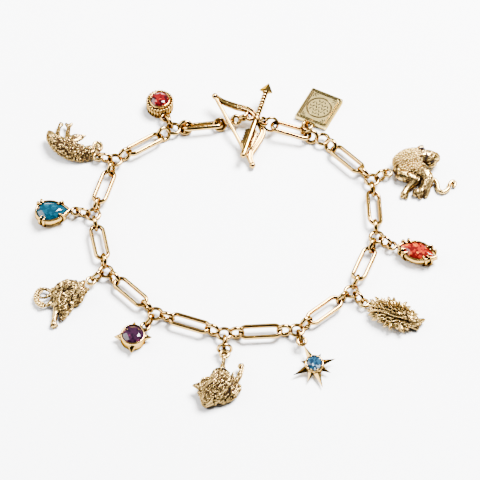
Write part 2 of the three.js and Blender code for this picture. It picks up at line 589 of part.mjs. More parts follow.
// Charm 4: a humped beast with two legs stretched out and a tail that curls into a ring.
addFigure(4, 'curled_tail_charm', curledTail.length, {
  swellings: [
    { at: [-0.23, -0.13, 0.17], radii: [0.16, 0.15, 0.16] },
    { at: [-0.44, -0.17, 0.23], radii: [0.24, 0.2, 0.21], turn: 12 },
    { at: [-0.62, -0.28, 0.2], radii: [0.16, 0.18, 0.17] },
    { at: [-0.5, -0.44, 0.14], radii: [0.16, 0.15, 0.12] },
    { at: [-0.78, -1.03, 0.07], radii: [0.08, 0.09, 0.065] },
    { at: [-0.4, -0.86, 0.07], radii: [0.09, 0.07, 0.065] },
    { at: [-1.14, -0.27, 0.09], radii: [0.06, 0.06, 0.06] },
    { at: [-1.08, -0.45, 0.08], radii: [0.06, 0.06, 0.06] },
  ],
  members: [
    { from: [-0.66, -0.38, 0.14], to: [-0.78, -1.0, 0.08], thick: 0.1, thin: 0.06 },
    { from: [-0.5, -0.46, 0.12], to: [-0.41, -0.85, 0.08], thick: 0.1, thin: 0.06 },
    { from: [-0.9, -0.2, 0.09], to: [-0.6, -0.26, 0.14], thick: 0.045 },
    { from: [-0.92, -0.46, 0.09], to: [-0.6, -0.48, 0.1], thick: 0.04 },
    { from: [-0.08, -0.05, 0.14], to: [-0.22, -0.13, 0.16], thick: 0.05 },
  ],
  points: [
    { from: [-0.36, -0.05, 0.34], to: [-0.3, 0.03, 0.46], thick: 0.06 },
    { from: [-0.52, -0.03, 0.34], to: [-0.56, 0.04, 0.45], thick: 0.06 },
  ],
  hoops: [{ at: [-0.97, -0.31, 0.09], radius: 0.165, thick: 0.04 }],
});

// Charm 6: a boar on its belly, snout and tusks towards the viewer and a leg folded up beside it.
addJumpRing('06b', flatJumpPlace, 0);
const boarPlace = flatJumpPlace.clone().add(vector(0, -boarLoopReach, 0)).setZ(0);
addFigure(6, 'boar_charm', boar.length, {
  swellings: [
    { at: [-0.13, -0.5, 0.24], radii: [0.26, 0.28, 0.24] },
    { at: [-0.1, -0.27, 0.2], radii: [0.19, 0.17, 0.17] },
    { at: [-0.3, -0.76, 0.19], radii: [0.18, 0.19, 0.17] },
    { at: [0.14, -0.58, 0.14], radii: [0.16, 0.15, 0.13] },
    { at: [0.37, -0.05, 0.15], radii: [0.07, 0.08, 0.07] },
  ],
  members: [
    { from: [-0.32, -0.82, 0.15], to: [-0.34, -1.06, 0.11], thick: 0.12, thin: 0.08 },
    { from: [0.12, -0.5, 0.14], to: [0.32, -0.28, 0.15], thick: 0.1, thin: 0.065 },
    { from: [0.31, -0.3, 0.15], to: [0.37, -0.05, 0.15], thick: 0.065, thin: 0.05 },
    { from: [0, -0.08, 0.15], to: [-0.03, -0.24, 0.17], thick: 0.045 },
  ],
  points: [
    { from: [-0.4, -0.66, 0.26], to: [-0.66, -0.55, 0.22], thick: 0.09 },
    { from: [-0.18, -0.7, 0.3], to: [-0.1, -0.72, 0.47], thick: 0.07 },
    { from: [-0.18, -0.8, 0.12], to: [-0.2, -1.06, 0.06], thick: 0.05 },
    { from: [0.04, -0.38, 0.22], to: [0.17, -0.1, 0.22], thick: 0.05 },
  ],
}, boarPlace);

// Charm 8: an oval animal whose back carries rows of spines; its bare snout points away from the chain.
{
  const size = spiny.length;
  const lean = -25;
  const middle = vector(0.45, -0.2, 0.16);
  const radii = vector(0.36, 0.18, 0.15);
  const rows = [
    { station: -0.85, spines: 3 }, { station: -0.45, spines: 5 }, { station: 0, spines: 5 },
    { station: 0.45, spines: 5 }, { station: 0.8, spines: 3 },
  ];
  const onBack = (station, side, reach) => {
    const girth = Math.sqrt(1 - station * station) * reach;
    const place = vector(station * reach, Math.sin(side) * girth, Math.cos(side) * girth).multiply(radii);
    return place.applyAxisAngle(vector(0, 0, 1), radians(lean)).add(middle);
  };
  const spines = rows.flatMap(({ station, spines: count }, row) => Array.from({ length: count }, (_, k) => {
    const side = radians(-80 + 160 * k / (count - 1) + (row % 2) * 12);
    const from = onBack(station * 0.9, side, 0.7).toArray();
    return { from, to: onBack(station - 0.12, side, 1.42).toArray(), thick: 0.05 };
  }));
  addFigure(8, 'spiny_charm', size, {
    swellings: [
      { at: middle.toArray(), radii: radii.toArray(), turn: lean },
      { at: [0.79, -0.36, 0.12], radii: [0.14, 0.11, 0.11], turn: lean },
    ],
    members: [{ from: [0.08, -0.02, 0.12], to: [0.24, -0.1, 0.15], thick: 0.05 }],
    points: [...spines, { from: [0.88, -0.4, 0.1], to: [1.02, -0.46, 0.09], thick: 0.06 }],
  });
}

// Charm 10: a lion-like animal, mane and muzzle above, two bent forelegs below and a curling tail.
addFigure(10, 'lion_charm', lion.length, {
  swellings: [
    { at: [0.45, 0.16, 0.25], radii: [0.36, 0.26, 0.25] },
    { at: [0.74, 0.24, 0.3], radii: [0.2, 0.19, 0.17] },
    { at: [0.92, 0.26, 0.2], radii: [0.15, 0.14, 0.15] },
    { at: [0.2, -0.1, 0.15], radii: [0.18, 0.16, 0.14] },
    { at: [0.62, -0.14, 0.17], radii: [0.26, 0.2, 0.16] },
    { at: [0.28, -0.66, 0.075], radii: [0.11, 0.1, 0.075] },
    { at: [0.74, -0.58, 0.09], radii: [0.16, 0.12, 0.09] },
  ],
  members: [
    { from: [0.5, -0.1, 0.14], to: [0.6, -0.38, 0.12], thick: 0.12, thin: 0.09 },
    { from: [0.6, -0.36, 0.12], to: [0.3, -0.64, 0.08], thick: 0.09, thin: 0.07 },
    { from: [0.7, -0.2, 0.14], to: [0.74, -0.55, 0.1], thick: 0.11, thin: 0.1 },
    { from: [0.05, 0.02, 0.15], to: [0.25, 0.05, 0.18], thick: 0.06 },
  ],
  hoops: [{ at: [1.37, -0.27, 0.05], radius: 0.065, thick: 0.03 }],
  extra: [sweep([
    [0.8, -0.15, 0.12], [0.93, -0.24, 0.09], [0.98, -0.42, 0.06], [1.08, -0.55, 0.06], [1.21, -0.5, 0.06],
    [1.31, -0.34, 0.05], [1.33, -0.3, 0.05],
  ].map((p) => vector(...p).multiplyScalar(lion.length)), 0.9, 0.8, 11, facet.limb)],
});

// Charm 11: a plaque with a raised double border and a round frame; its bail hangs from the last long link.
{
  const plaqueHeading = 46;
  const lastLink = bracelet.getObjectByName('long_link_12');
  lastLink.updateMatrixWorld(true);
  const wallSide = (longLink.width - longLink.wire) / 2;
  const wall = lastLink.localToWorld(vector(-longLink.length / 4, -wallSide, 0));
  const jumpHeading = 62;
  const jumpReach = innerRadius(jumpRing) - longLink.wire / 2 - jumpPlay;
  const jumpPlace = wall.clone().add(along(jumpHeading, jumpReach)).setZ(jumpHeight);
  addJumpRing('11', jumpPlace, jumpHeading);
  const { width, height, thickness, border, relief, frame, frameWall } = plaque;
  const bailReach = loopReach(plaque.bail) - jumpPlay;
  const place = jumpPlace.clone().add(along(plaqueHeading, bailReach)).setZ(0);
  const group = charmGroup(place, -27);
  const top = thickness - relief;
  const plate = (w, h, z0, z1) => new THREE.BoxGeometry(w, h, z1 - z0).translate(0, 0, (z0 + z1) / 2);
  const slab = plate(width, height, 0, thickness);
  const recess = plate(width - 2 * border, height - 2 * border, top, thickness + 1);
  const innerRim = cutBy(
    plate(width - 3.2 * border, height - 3.2 * border, top - 0.2, thickness - relief * 0.3),
    plate(width - 4 * border, height - 4 * border, top - 0.5, thickness + 1));
  const disc = (radius, z0, z1, sides) => new THREE.CylinderGeometry(radius, radius, z1 - z0, sides)
    .rotateX(Math.PI / 2).translate(0, 0, (z0 + z1) / 2);
  const roundFrame = cutBy(disc(frame / 2, top - 0.2, thickness - relief * 0.15, 20),
    disc(frame / 2 - frameWall, top - 0.5, thickness + 1, 20));
  const boss = disc(plaque.boss, top - 0.2, thickness - relief * 0.4, facet.cone);
  const centre = vector(0, height / 2 + castLoop.across / 2 - solderBite, 0);
  addPiece('plaque_charm', joined(...[cutBy(slab, recess), innerRim, roundFrame, boss]
    .map((shape) => placed(shape, centre)), loopShape(plaque.bail)), colours.antique, group);
}

// The finished bracelet is centred over the origin and set down on the floor.
charmBracelet.updateMatrixWorld(true);
const bounds = new THREE.Box3().setFromObject(charmBracelet, true);
bracelet.position.copy(bounds.getCenter(vector(0, 0)).negate()).setZ(-bounds.min.z);

export default charmBracelet;
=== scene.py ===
import math
import bmesh
import bpy
import numpy as np
from mathutils import Matrix, Vector


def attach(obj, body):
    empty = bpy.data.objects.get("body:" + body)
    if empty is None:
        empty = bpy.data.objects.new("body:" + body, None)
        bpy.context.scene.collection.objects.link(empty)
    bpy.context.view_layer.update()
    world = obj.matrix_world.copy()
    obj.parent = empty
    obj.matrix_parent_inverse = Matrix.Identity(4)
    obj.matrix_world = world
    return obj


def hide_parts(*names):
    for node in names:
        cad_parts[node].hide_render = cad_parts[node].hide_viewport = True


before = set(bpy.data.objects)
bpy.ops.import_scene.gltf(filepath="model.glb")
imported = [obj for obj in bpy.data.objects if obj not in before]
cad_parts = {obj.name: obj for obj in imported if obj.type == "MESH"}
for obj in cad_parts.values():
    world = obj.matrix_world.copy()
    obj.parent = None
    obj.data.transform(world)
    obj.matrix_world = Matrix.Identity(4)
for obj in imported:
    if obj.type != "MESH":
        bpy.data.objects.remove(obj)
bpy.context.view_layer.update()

# Camera: a long lens above and in front of the bracelet, looking 54 degrees down on the table.
# It stands 0.8 m away, as for a product photograph.
target = Vector((-0.0013, 0.0003, 0.0))
camera_distance = 0.8
elevation = math.radians(54)
lens = bpy.data.cameras.new("camera")
lens.lens = 282.2
lens.sensor_width = 36
lens.clip_start = 0.05
camera = bpy.data.objects.new("camera", lens)
camera.location = target + camera_distance * Vector((0, -math.cos(elevation), math.sin(elevation)))
camera.rotation_euler = (math.pi / 2 - elevation, 0, 0)
bpy.context.scene.collection.objects.link(camera)
bpy.context.scene.camera = camera


# Table and light: a matt white sweep under a large soft box behind on the right and a white room.
# The side towards the camera stays darker, which gives the polished wire its dark edge lines.
def feed(node, values):
    """Sets a node's inputs: another node or a socket is linked to the input, anything else is its value."""
    for key, value in values.items():
        for source in value if isinstance(value, list) else [value]:
            if isinstance(source, bpy.types.Node):
                source = source.outputs[0]
            if isinstance(source, bpy.types.NodeSocket):
                node.id_data.links.new(source, node.inputs[key])
            else:
                node.inputs[key].default_value = source
    return node


def add_node(tree, kind, values=None, **settings):
    node = tree.nodes.new(kind)
    for key, value in settings.items():
        setattr(node, key, value)
    return feed(node, values or {})


def maths(tree, operation, *values, kind="ShaderNodeMath"):
    return add_node(tree, kind, dict(enumerate(values)), operation=operation)


def ramp_of(tree, factor, stops):
    """Colours that run from one stop (place, colour) to the next as the factor grows."""
    ramp = add_node(tree, "ShaderNodeValToRGB", {"Fac": factor})
    while len(ramp.color_ramp.elements) < len(stops):
        ramp.color_ramp.elements.new(0.5)
    for element, (place, colour) in zip(ramp.color_ramp.elements, stops):
        element.position = place
        element.color = (*colour, 1)
    return ramp


def new_material(name, base, metallic, roughness):
    material = bpy.data.materials.new(name)
    material.use_nodes = True
    shader = material.node_tree.nodes["Principled BSDF"]
    feed(shader, {"Base Color": (*base, 1), "Metallic": metallic, "Roughness": roughness})
    return material, material.node_tree, shader


paper, paper_tree, paper_shader = new_material("white_paper", (0.9, 0.9, 0.91), 0, 0.9)
paper_place = add_node(paper_tree, "ShaderNodeTexCoord").outputs["Object"]
paper_grain = add_node(paper_tree, "ShaderNodeTexNoise", {"Vector": paper_place, "Scale": 900.0, "Detail": 2.0})
feed(paper_shader, {"Base Color": ramp_of(
    paper_tree, paper_grain, [(0.3, (0.88, 0.885, 0.9)), (0.7, (0.9, 0.9, 0.91))])})
table_mesh = bpy.data.meshes.new("table")
table_mesh.from_pydata([(-2, -2, 0), (2, -2, 0), (2, 2, 0), (-2, 2, 0)], [], [(0, 1, 2, 3)])
table_mesh.materials.append(paper)
table = bpy.data.objects.new("table", table_mesh)
bpy.context.scene.collection.objects.link(table)

room = bpy.data.worlds.new("room")
room.use_nodes = True
room_tree = room.node_tree
direction = add_node(room_tree, "ShaderNodeTexCoord").outputs["Generated"]
split = add_node(room_tree, "ShaderNodeSeparateXYZ", {0: direction})
towards_back = maths(room_tree, "MULTIPLY", split.outputs["Y"], 0.8)
height_and_back = maths(room_tree, "ADD", split.outputs["Z"], towards_back)
feed(room_tree.nodes["Background"], {"Strength": 0.58, "Color": ramp_of(room_tree, height_and_back, [
    (0.1, (0.02, 0.018, 0.015)), (0.45, (0.05, 0.045, 0.04)),
    (0.62, (0.42, 0.43, 0.45)), (1.0, (0.9, 0.92, 0.95))])})
bpy.context.scene.world = room

for light_name, place, size, power in (
        ("soft_box", (0.3, 0.27, 0.68), 0.36, 68.0), ("left_card", (-0.5, 0.1, 0.4), 0.5, 9.0)):
    light = bpy.data.lights.new(light_name, "AREA")
    light.size = size
    light.energy = power
    lamp = bpy.data.objects.new(light_name, light)
    lamp.location = place
    lamp.rotation_euler = (-Vector(place)).to_track_quat("-Z", "Y").to_euler()
    bpy.context.scene.collection.objects.link(lamp)


# Long links: twelve paperclip links of tall oval wire, brass drawn, bent round, soldered, plated
# in warm gold and polished; they join the ring groups round the loop.
def polished(name, tint, reach, hollow):
    """Plated metal: a little colour drift, fine wear in the gloss and a light hammer of the surface, and painted
    shade: the colour darkens towards the given dark colour where ambient occlusion finds corners, crossings and
    undersides.
    """
    material, tree, shader = new_material(name, tint, 1.0, 0.14)
    place = add_node(tree, "ShaderNodeTexCoord").outputs["Object"]
    drift = add_node(tree, "ShaderNodeTexNoise", {"Vector": place, "Scale": 420.0, "Detail": 3.0})
    drifted_tint = ramp_of(tree, drift, [(0.3, tuple(c * 0.88 for c in tint)), (0.7, tint)])
    # Painted shade: ambient occlusion multiplies the colour down to the dark colour in corners, at crossings and under
    # the wire.
    corner = add_node(tree, "ShaderNodeAmbientOcclusion", {"Distance": reach}, samples=8)
    painted_shade_ramp = ramp_of(tree, corner.outputs["AO"], [(0.42, hollow), (0.92, (1, 1, 1))])
    tint_with_painted_shade = add_node(tree, "ShaderNodeMix", {0: 1.0, 6: drifted_tint, 7: painted_shade_ramp},
                      data_type="RGBA", blend_type="MULTIPLY")
    scuffs = add_node(tree, "ShaderNodeTexNoise", {
        "Vector": place, "Scale": 5200.0, "Detail": 4.0, "Roughness": 0.7})
    feed(shader, {
        "Base Color": tint_with_painted_shade.outputs[2], "Specular Tint": (0.26, 0.16, 0.08, 1),
        "Roughness": add_node(tree, "ShaderNodeMapRange", {0: scuffs, 3: 0.05, 4: 0.18}),
        "Normal": add_node(tree, "ShaderNodeBump", {"Height": scuffs, "Strength": 0.06, "Distance": 0.00002})})
    return material


# The last colour of each is the painted shade, and the number before it is how far the occlusion reaches.
gold = polished("polished_gold", (0.47, 0.29, 0.085), 0.0016, (0.17, 0.095, 0.04))
cast_polished = polished("polished_cast_gold", (0.47, 0.29, 0.08), 0.0009, (0.18, 0.1, 0.04))
socket_kinds = {int: "NodeSocketInt", float: "NodeSocketFloat", tuple: "NodeSocketVector"}


def new_tree(name, **sizes):
    """An empty geometry tree with an input for each of its sizes, and the outputs of those inputs."""
    tree = bpy.data.node_groups.new(name, "GeometryNodeTree")
    tree.interface.new_socket("Geometry", in_out="INPUT", socket_type="NodeSocketGeometry")
    for key, value in sizes.items():
        socket = tree.interface.new_socket(key, in_out="INPUT", socket_type=socket_kinds[type(value)])
        socket.default_value = value
    tree.interface.new_socket("Geometry", in_out="OUTPUT", socket_type="NodeSocketGeometry")
    return tree, tree.nodes.new("NodeGroupInput").outputs


def close_tree(tree, last, material):
    """Every tree ends with real geometry, smooth faces and its metal."""
    real = add_node(tree, "GeometryNodeRealizeInstances", {0: last})
    smooth = add_node(tree, "GeometryNodeSetShadeSmooth", {0: real})
    metal = add_node(tree, "GeometryNodeSetMaterial", {0: smooth, "Material": material})
    add_node(tree, "NodeGroupOutput", {0: metal})


def plain_mesh(host):
    """The plain mesh that an object's modifiers make; the object itself is thrown away."""
    mesh = bpy.data.meshes.new_from_object(host.evaluated_get(bpy.context.evaluated_depsgraph_get()))
    host.modifiers.clear()
    bpy.data.objects.remove(host)
    return mesh


def grown(tree, base=None, **values):
    """The plain mesh that a tree makes from a base mesh with the given inputs."""
    host = bpy.data.objects.new("host", base or bpy.data.meshes.new("host"))
    bpy.context.scene.collection.objects.link(host)
    modifier = host.modifiers.new("shape", "NODES")
    modifier.node_group = tree
    for item in tree.interface.items_tree:
        if item.in_out == "INPUT" and item.name in values:
            modifier[item.identifier] = values[item.name]
    return plain_mesh(host)


link_size = {"Length": 9.2, "Width": 3.3, "Wire": 0.5, "Height": 0.8}
link_tree, link_in = new_tree("drawn_link", **link_size)
run_length = maths(link_tree, "SUBTRACT", link_in["Length"], link_in["Wire"])
run_width = maths(link_tree, "SUBTRACT", link_in["Width"], link_in["Wire"])
route = add_node(link_tree, "GeometryNodeCurvePrimitiveQuadrilateral", {"Width": run_length, "Height": run_width})
end_radius = maths(link_tree, "MULTIPLY", run_width, 0.499)
rounded = add_node(link_tree, "GeometryNodeFilletCurve", {0: route, "Radius": end_radius, "Count": 12}, mode="POLY")
upright = add_node(link_tree, "GeometryNodeSetCurveNormal", {0: rounded}, mode="Z_UP")
section = add_node(link_tree, "GeometryNodeCurvePrimitiveCircle", {"Resolution": 14, "Radius": 0.5})
oval = add_node(link_tree, "ShaderNodeCombineXYZ", {0: link_in["Wire"], 1: link_in["Height"], 2: 1.0})
stretched = add_node(link_tree, "GeometryNodeTransform", {0: section, "Scale": oval})
close_tree(link_tree, add_node(link_tree, "GeometryNodeCurveToMesh", {0: upright, 1: stretched}), gold)

# The finished wires of links and rings are a little thicker than their plain sizes, as the picture shows.
link_mesh = grown(link_tree, Length=9.34, Width=3.5, Wire=0.86, Height=1.1)


def turned_to(place, heading=0, roll=0, rise=0):
    """Where a piece lies, in millimetres: rolled about X, its far end lifted, then turned on the table."""
    return (Matrix.Translation(Vector(place)) @ Matrix.Rotation(math.radians(heading), 4, "Z")
            @ Matrix.Rotation(-math.radians(rise), 4, "Y") @ Matrix.Rotation(math.radians(roll), 4, "X"))


def along(degrees, distance=1.0):
    return Vector((math.cos(math.radians(degrees)), math.sin(math.radians(degrees)), 0)) * distance


def heading_of(a, b):
    return math.degrees(math.atan2(b[1] - a[1], b[0] - a[0]))


def mixed(*meshes):
    """One mesh of several, in millimetres, each given alone or with the place that it is moved to."""
    whole = bmesh.new()
    materials = []
    for entry in meshes:
        mesh, place = entry if isinstance(entry, tuple) else (entry, Matrix.Identity(4))
        copy = mesh.copy()
        copy.transform(place)
        slots = {}
        for i, material in enumerate(copy.materials):
            if material not in materials:
                materials.append(material)
            slots[i] = materials.index(material)
        start = len(whole.faces)
        whole.from_mesh(copy)
        whole.faces.ensure_lookup_table()
        for face in whole.faces[start:]:
            face.material_index = slots.get(face.material_index, 0)
        bpy.data.meshes.remove(copy)
    result = bpy.data.meshes.new("mixed")
    whole.to_mesh(result)
    whole.free()
    for material in materials:
        result.materials.append(material)
    return result


# The shared frame's origin is the middle of the whole bracelet; this is how far the middle of the
# loop's own plan lies from it.
own_centre = Vector((-0.3427, -1.0384, 0))


def set_down(name, mesh, nodes, place=None):
    """Puts a finished mesh in metres into the shared frame, for the nodes that it stands for."""
    mesh.transform(Matrix.Scale(0.001, 4) @ Matrix.Translation(own_centre) @ (place or Matrix.Identity(4)))
    mesh.name = name
    piece = bpy.data.objects.new(name, mesh)
    bpy.context.scene.collection.objects.link(piece)
    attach(piece, "root")
    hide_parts(*nodes)


# The toggle's places come first, because the chain's two ends start from its rings. A ring's sizes are
# how far it is across outside and its wire.
bow_size = {"length": 18.8, "depth": 5.9, "limb_width": 0.85, "limb_height": 1.0, "string": 0.6, "ball": 0.55,
            "climb": 2.9}
arrow_size = {"length": 19.6, "shaft": 0.8, "head": 2.6, "head_length": 2.4, "vane": 1.5, "vane_length": 4.4,
              "ball": 0.6, "climb": 1.9}
bow_place = turned_to((1.72, 20.5, 1.0), 26, math.degrees(math.atan2(bow_size["climb"], bow_size["length"])))
arrow_place = turned_to((-0.35, 21.6, 2.75), -17,
                        math.degrees(math.atan2(arrow_size["climb"], arrow_size["length"])))
ring_sizes = {"small": (3.4, 0.5), "middle": (3.4, 0.5), "jump": (3.3, 0.4), "loop": (2.3, 0.45),
              "clasp": (2.4, 0.45), "clasp_end": (3.0, 0.45), "right_link": (2.2, 0.4),
              "right_ring": (3.5, 0.35), "eye": (1.7, 0.4)}
inner = {key: across / 2 - wire for key, (across, wire) in ring_sizes.items()}
play, solder_bite = 0.25, 0.15
grip_loop = Vector((bow_size["depth"] - bow_size["limb_width"] / 2 - inner["clasp"], 0.6 * bow_size["length"], 0))
row_start = 2 * inner["clasp"] - play
row_step = 2 * inner["clasp"] + solder_bite
row_length = row_start + 2 * row_step + inner["clasp"] + inner["clasp_end"] + solder_bite
row_heading, row_end_height = 190, 1.15
grip = bow_place @ grip_loop


def row_at(distance):
    place = grip + along(row_heading, distance)
    place.z = grip.z + (row_end_height - grip.z) * distance / row_length
    return place


left_end = row_at(row_length)
eye_across, eye_wire = ring_sizes["eye"]
eye_place = Vector((arrow_size["shaft"] / 2 + eye_across / 2 - eye_wire * 0.8, 0.49 * arrow_size["length"], 0.5))
right_heading, right_fall = -6, 28
right_way = (Matrix.Rotation(math.radians(right_heading), 3, "Z") @ Matrix.Rotation(math.radians(right_fall), 3, "Y")
             @ Vector((1, 0, 0)))
right_link_place = arrow_place @ eye_place + right_way * (inner["eye"] + inner["right_link"] - play)
right_end = right_link_place + right_way * (inner["right_link"] + inner["right_ring"] - play)

chain_height = 1.45
ring_step = inner["middle"] + inner["small"] + solder_bite
link_step = link_size["Length"] / 2 - link_size["Wire"] + inner["small"] - play
pitch = 2 * (ring_step + link_step)


def clasp_reach(ring):
    return link_size["Length"] - 2 * link_size["Wire"] + inner[ring] + inner["small"] - 2 * play + ring_step


# The first and the last long link lie a little slack between the toggle and the chain, whose route
# is bent until it fits between them.
left_slack, right_slack = 2.4, 1.3
first_corner = left_end + along(187.8, clasp_reach("clasp_end") - left_slack)
last_corner = right_end + along(-14.8, clasp_reach("right_ring") - right_slack)
first_corner.z = last_corner.z = chain_height
corner_turns = [-140, -101, -73, -40, -14, 9, 46, 74, 98, 139]
least, most = 0.4, 1.8
for _ in range(40):
    bend = (least + most) / 2
    if sum((along(t * bend, pitch) for t in corner_turns), Vector()).length > (last_corner - first_corner).length:
        least = bend
    else:
        most = bend
offsets = [Vector()]
for t in corner_turns:
    offsets.append(offsets[-1] + along(t * least, pitch))
square = math.radians(heading_of(first_corner, last_corner) - heading_of(offsets[0], offsets[-1]))
corners = [Matrix.Rotation(square, 3, "Z") @ p + first_corner for p in offsets]
small_rolls = [-56, -78, -84, 80, 96, 82, 82, 98, 84, 78, -62]
link_rolls = [36, 14, 6, -6, 4, -4, 5, 6, -8, 22, 5, 12]


def standing_height(key, roll):
    """How high a rolled ring's middle lies when its lowest point touches the table."""
    across, wire = ring_sizes[key]
    return (across - wire) / 2 * abs(math.sin(math.radians(roll))) + wire / 2


def small_place(i, other):
    place = corners[i] + along(heading_of(corners[i], other), ring_step)
    place.z = standing_height("small", small_rolls[i])
    return place


def link_lying(a, b, roll):
    """Where a long link lies between the two rings that it joins."""
    rise = math.degrees(math.atan2(b.z - a.z, 2 * link_step))
    return turned_to((a + b) / 2, heading_of(a, b), roll, rise)


before = [small_place(i, left_end if i == 0 else corners[i - 1]) for i in range(11)]
after = [small_place(i, right_end if i == 10 else corners[i + 1]) for i in range(11)]
for i, (a, b, roll) in enumerate(zip([left_end, *after], [*before, right_end], link_rolls)):
    name = f"long_link_{i + 1:02d}"
    set_down(f"{name}_wire", link_mesh.copy(), [name], link_lying(a, b, roll))

# Rings: round gold-plated brass wire. Those of the chain are soldered three by three where a charm
# hangs; the jump rings that carry the charms are bent open, hooked on and pressed shut again.
ring_tree, ring_in = new_tree("wire_ring", Across=3.4, Wire=0.5, Opening=0.0)
middle_line = maths(ring_tree, "SUBTRACT", ring_in["Across"], ring_in["Wire"])
hoop = add_node(ring_tree, "GeometryNodeCurveArc", {
    "Resolution": 40, "Radius": maths(ring_tree, "MULTIPLY", middle_line, 0.5),
    "Sweep Angle": maths(ring_tree, "SUBTRACT", 2 * math.pi, ring_in["Opening"])})
wire_round = add_node(ring_tree, "GeometryNodeCurvePrimitiveCircle", {
    "Resolution": 12, "Radius": maths(ring_tree, "MULTIPLY", ring_in["Wire"], 0.5)})
bent = add_node(ring_tree, "GeometryNodeCurveToMesh", {0: hoop, 1: wire_round, "Fill Caps": True})
close_tree(ring_tree, bent, gold)
ring_meshes = {}
for key, (across, wire) in ring_sizes.items():
    thicker = 0.4 if key in ("small", "clasp") else 0.28
    ring_meshes[key] = grown(ring_tree, Across=across + 0.12, Wire=wire + thicker, Opening=0.03)

for i, corner in enumerate(corners):
    name = f"junction_rings_{i + 1:02d}"
    set_down(f"{name}_wire", mixed(
        (ring_meshes["small"], turned_to(before[i], heading_of(before[i], corner), small_rolls[i])),
        (ring_meshes["middle"], turned_to(corner, heading_of(corner, after[i]) + 15)),
        (ring_meshes["small"], turned_to(after[i], heading_of(corner, after[i]), small_rolls[i]))), [name])

jump_roll = 84
jump_height = standing_height("jump", jump_roll)
loop_half = ring_sizes["loop"][0] / 2
loop_high, loop_low = 1.5, 1.4

# The star leans a little on its lower rays, so its loop's height follows from its sizes.
star_size = {"seat": 1.6, "bezel": 2.0, "height": 2.0, "middle": 1.1, "long_ray": 5.2, "short_ray": 3.7}
star_tilt, star_turn = math.radians(8), math.radians(115)
star_reach = star_size["long_ray"] + loop_half - 2 * solder_bite
star_loop = (star_size["bezel"] * math.sin(star_tilt) + star_size["middle"]
             + star_reach * math.sin(star_turn) * math.sin(star_tilt))

# Heading, slack and loop height of each charm that hangs from a middle ring.
hangings = [(121, 0.35, loop_high), (164, 0, loop_low), (167, 0, loop_high), (217, 0, loop_low),
            (237, 0, loop_high), (272, 0, loop_high), (288, 0.6, star_loop), (312, 0, loop_low),
            (325, 0, loop_high), (30, 0, loop_high)]


def loop_reach(height):
    return math.sqrt(inner["jump"] ** 2 - (jump_height - height) ** 2) + inner["loop"] - play


def add_jump_ring(number, place, heading):
    name = f"jump_ring_{number}"
    set_down(f"{name}_wire", ring_meshes["jump"].copy(), [name], turned_to(place, heading, jump_roll))


loops = []
for i, (heading, slack, height) in enumerate(hangings):
    place = corners[i] + along(heading, inner["middle"] + inner["jump"] - play - slack / 2)
    place.z = jump_height
    add_jump_ring(f"{i + 1:02d}", place, heading)
    hang = place + along(heading, loop_reach(height) - slack / 2)
    hang.z = 0
    loops.append(hang)
add_jump_ring("06b", loops[5] + Vector((0, 0, jump_height)), 0)
plaque_heading = 62
last_link = link_lying(after[10], right_end, link_rolls[-1])
plaque_jump = (last_link @ Vector((-link_size["Length"] / 4, -1.4, 0))
               + along(plaque_heading, inner["jump"] - 2 * play))
plaque_jump.z = jump_height
add_jump_ring("11", plaque_jump, plaque_heading)


# Toggle: a bow and its arrow, cast in brass, plated and polished. The arrow is the bar: it has passed
# through the bow and lies across it. A row of small soldered rings ties the bow to the chain.
def smooth_route(points, steps):
    """A soft curve through a few points, with anything after the first three numbers drawn along too."""
    rows = np.array([points[0], *points, points[-1]], float)
    rows[0] = 2 * rows[1] - rows[2]
    rows[-1] = 2 * rows[-2] - rows[-3]
    result = []
    for i in range(1, len(rows) - 2):
        a, b, c, d = rows[i - 1:i + 3]
        for k in range(steps):
            t = k / steps
            result.append(0.5 * (2 * b + (c - a) * t + (2 * a - 5 * b + 4 * c - d) * t * t
                                 + (3 * b - a - 3 * c + d) * t ** 3))
    result.append(rows[-2])
    return result


def round_of(count, turn=0.0):
    """Places evenly spread round a circle of radius one."""
    angles = [2 * math.pi * (k + turn) / count for k in range(count)]
    return [(math.cos(angle), math.sin(angle)) for angle in angles]


def bridge(shape, rings):
    """Faces between each ring of points and the next."""
    for a, b in zip(rings, rings[1:]):
        for k in range(len(a)):
            n = (k + 1) % len(a)
            shape.faces.new((a[k], a[n], b[n], b[k]))


def mesh_of(shape, name, material):
    """A mesh of one material, with its faces turned outwards."""
    bmesh.ops.recalc_face_normals(shape, faces=shape.faces)
    mesh = bpy.data.meshes.new(name)
    shape.to_mesh(mesh)
    shape.free()
    mesh.materials.append(material)
    return mesh


def swept(points, section, material=cast_polished, up=Vector((0, 0, 1)), smooth=True):
    """A closed bar: a section (side, up) carried along points of x, y, z and a scale."""
    shape = bmesh.new()
    rings = []
    places = [Vector(p[:3]) for p in points]
    for i, p in enumerate(places):
        way = (places[min(i + 1, len(places) - 1)] - places[max(i - 1, 0)]).normalized()
        side = way.cross(up).normalized()
        rise = side.cross(way)
        scale = points[i][3] if len(points[i]) > 3 else 1.0
        rings.append([shape.verts.new(p + (side * u + rise * v) * scale) for u, v in section])
    bridge(shape, rings)
    shape.faces.new(list(reversed(rings[0])))
    shape.faces.new(rings[-1])
    for face in shape.faces:
        face.smooth = smooth and len(face.verts) == 4
    return mesh_of(shape, "swept", material)


def oval_section(width, height, sides=16):
    return [(x * width / 2, y * height / 2) for x, y in round_of(sides)]


def ball(place, radii, material=cast_polished, levels=3):
    shape = bmesh.new()
    bmesh.ops.create_icosphere(shape, subdivisions=levels, radius=1)
    for face in shape.faces:
        face.smooth = True
    mesh = mesh_of(shape, "ball", material)
    sizes = radii if isinstance(radii, tuple) else (radii,) * 3
    mesh.transform(Matrix.Translation(Vector(place)) @ Matrix.Diagonal((*sizes, 1)))
    return mesh


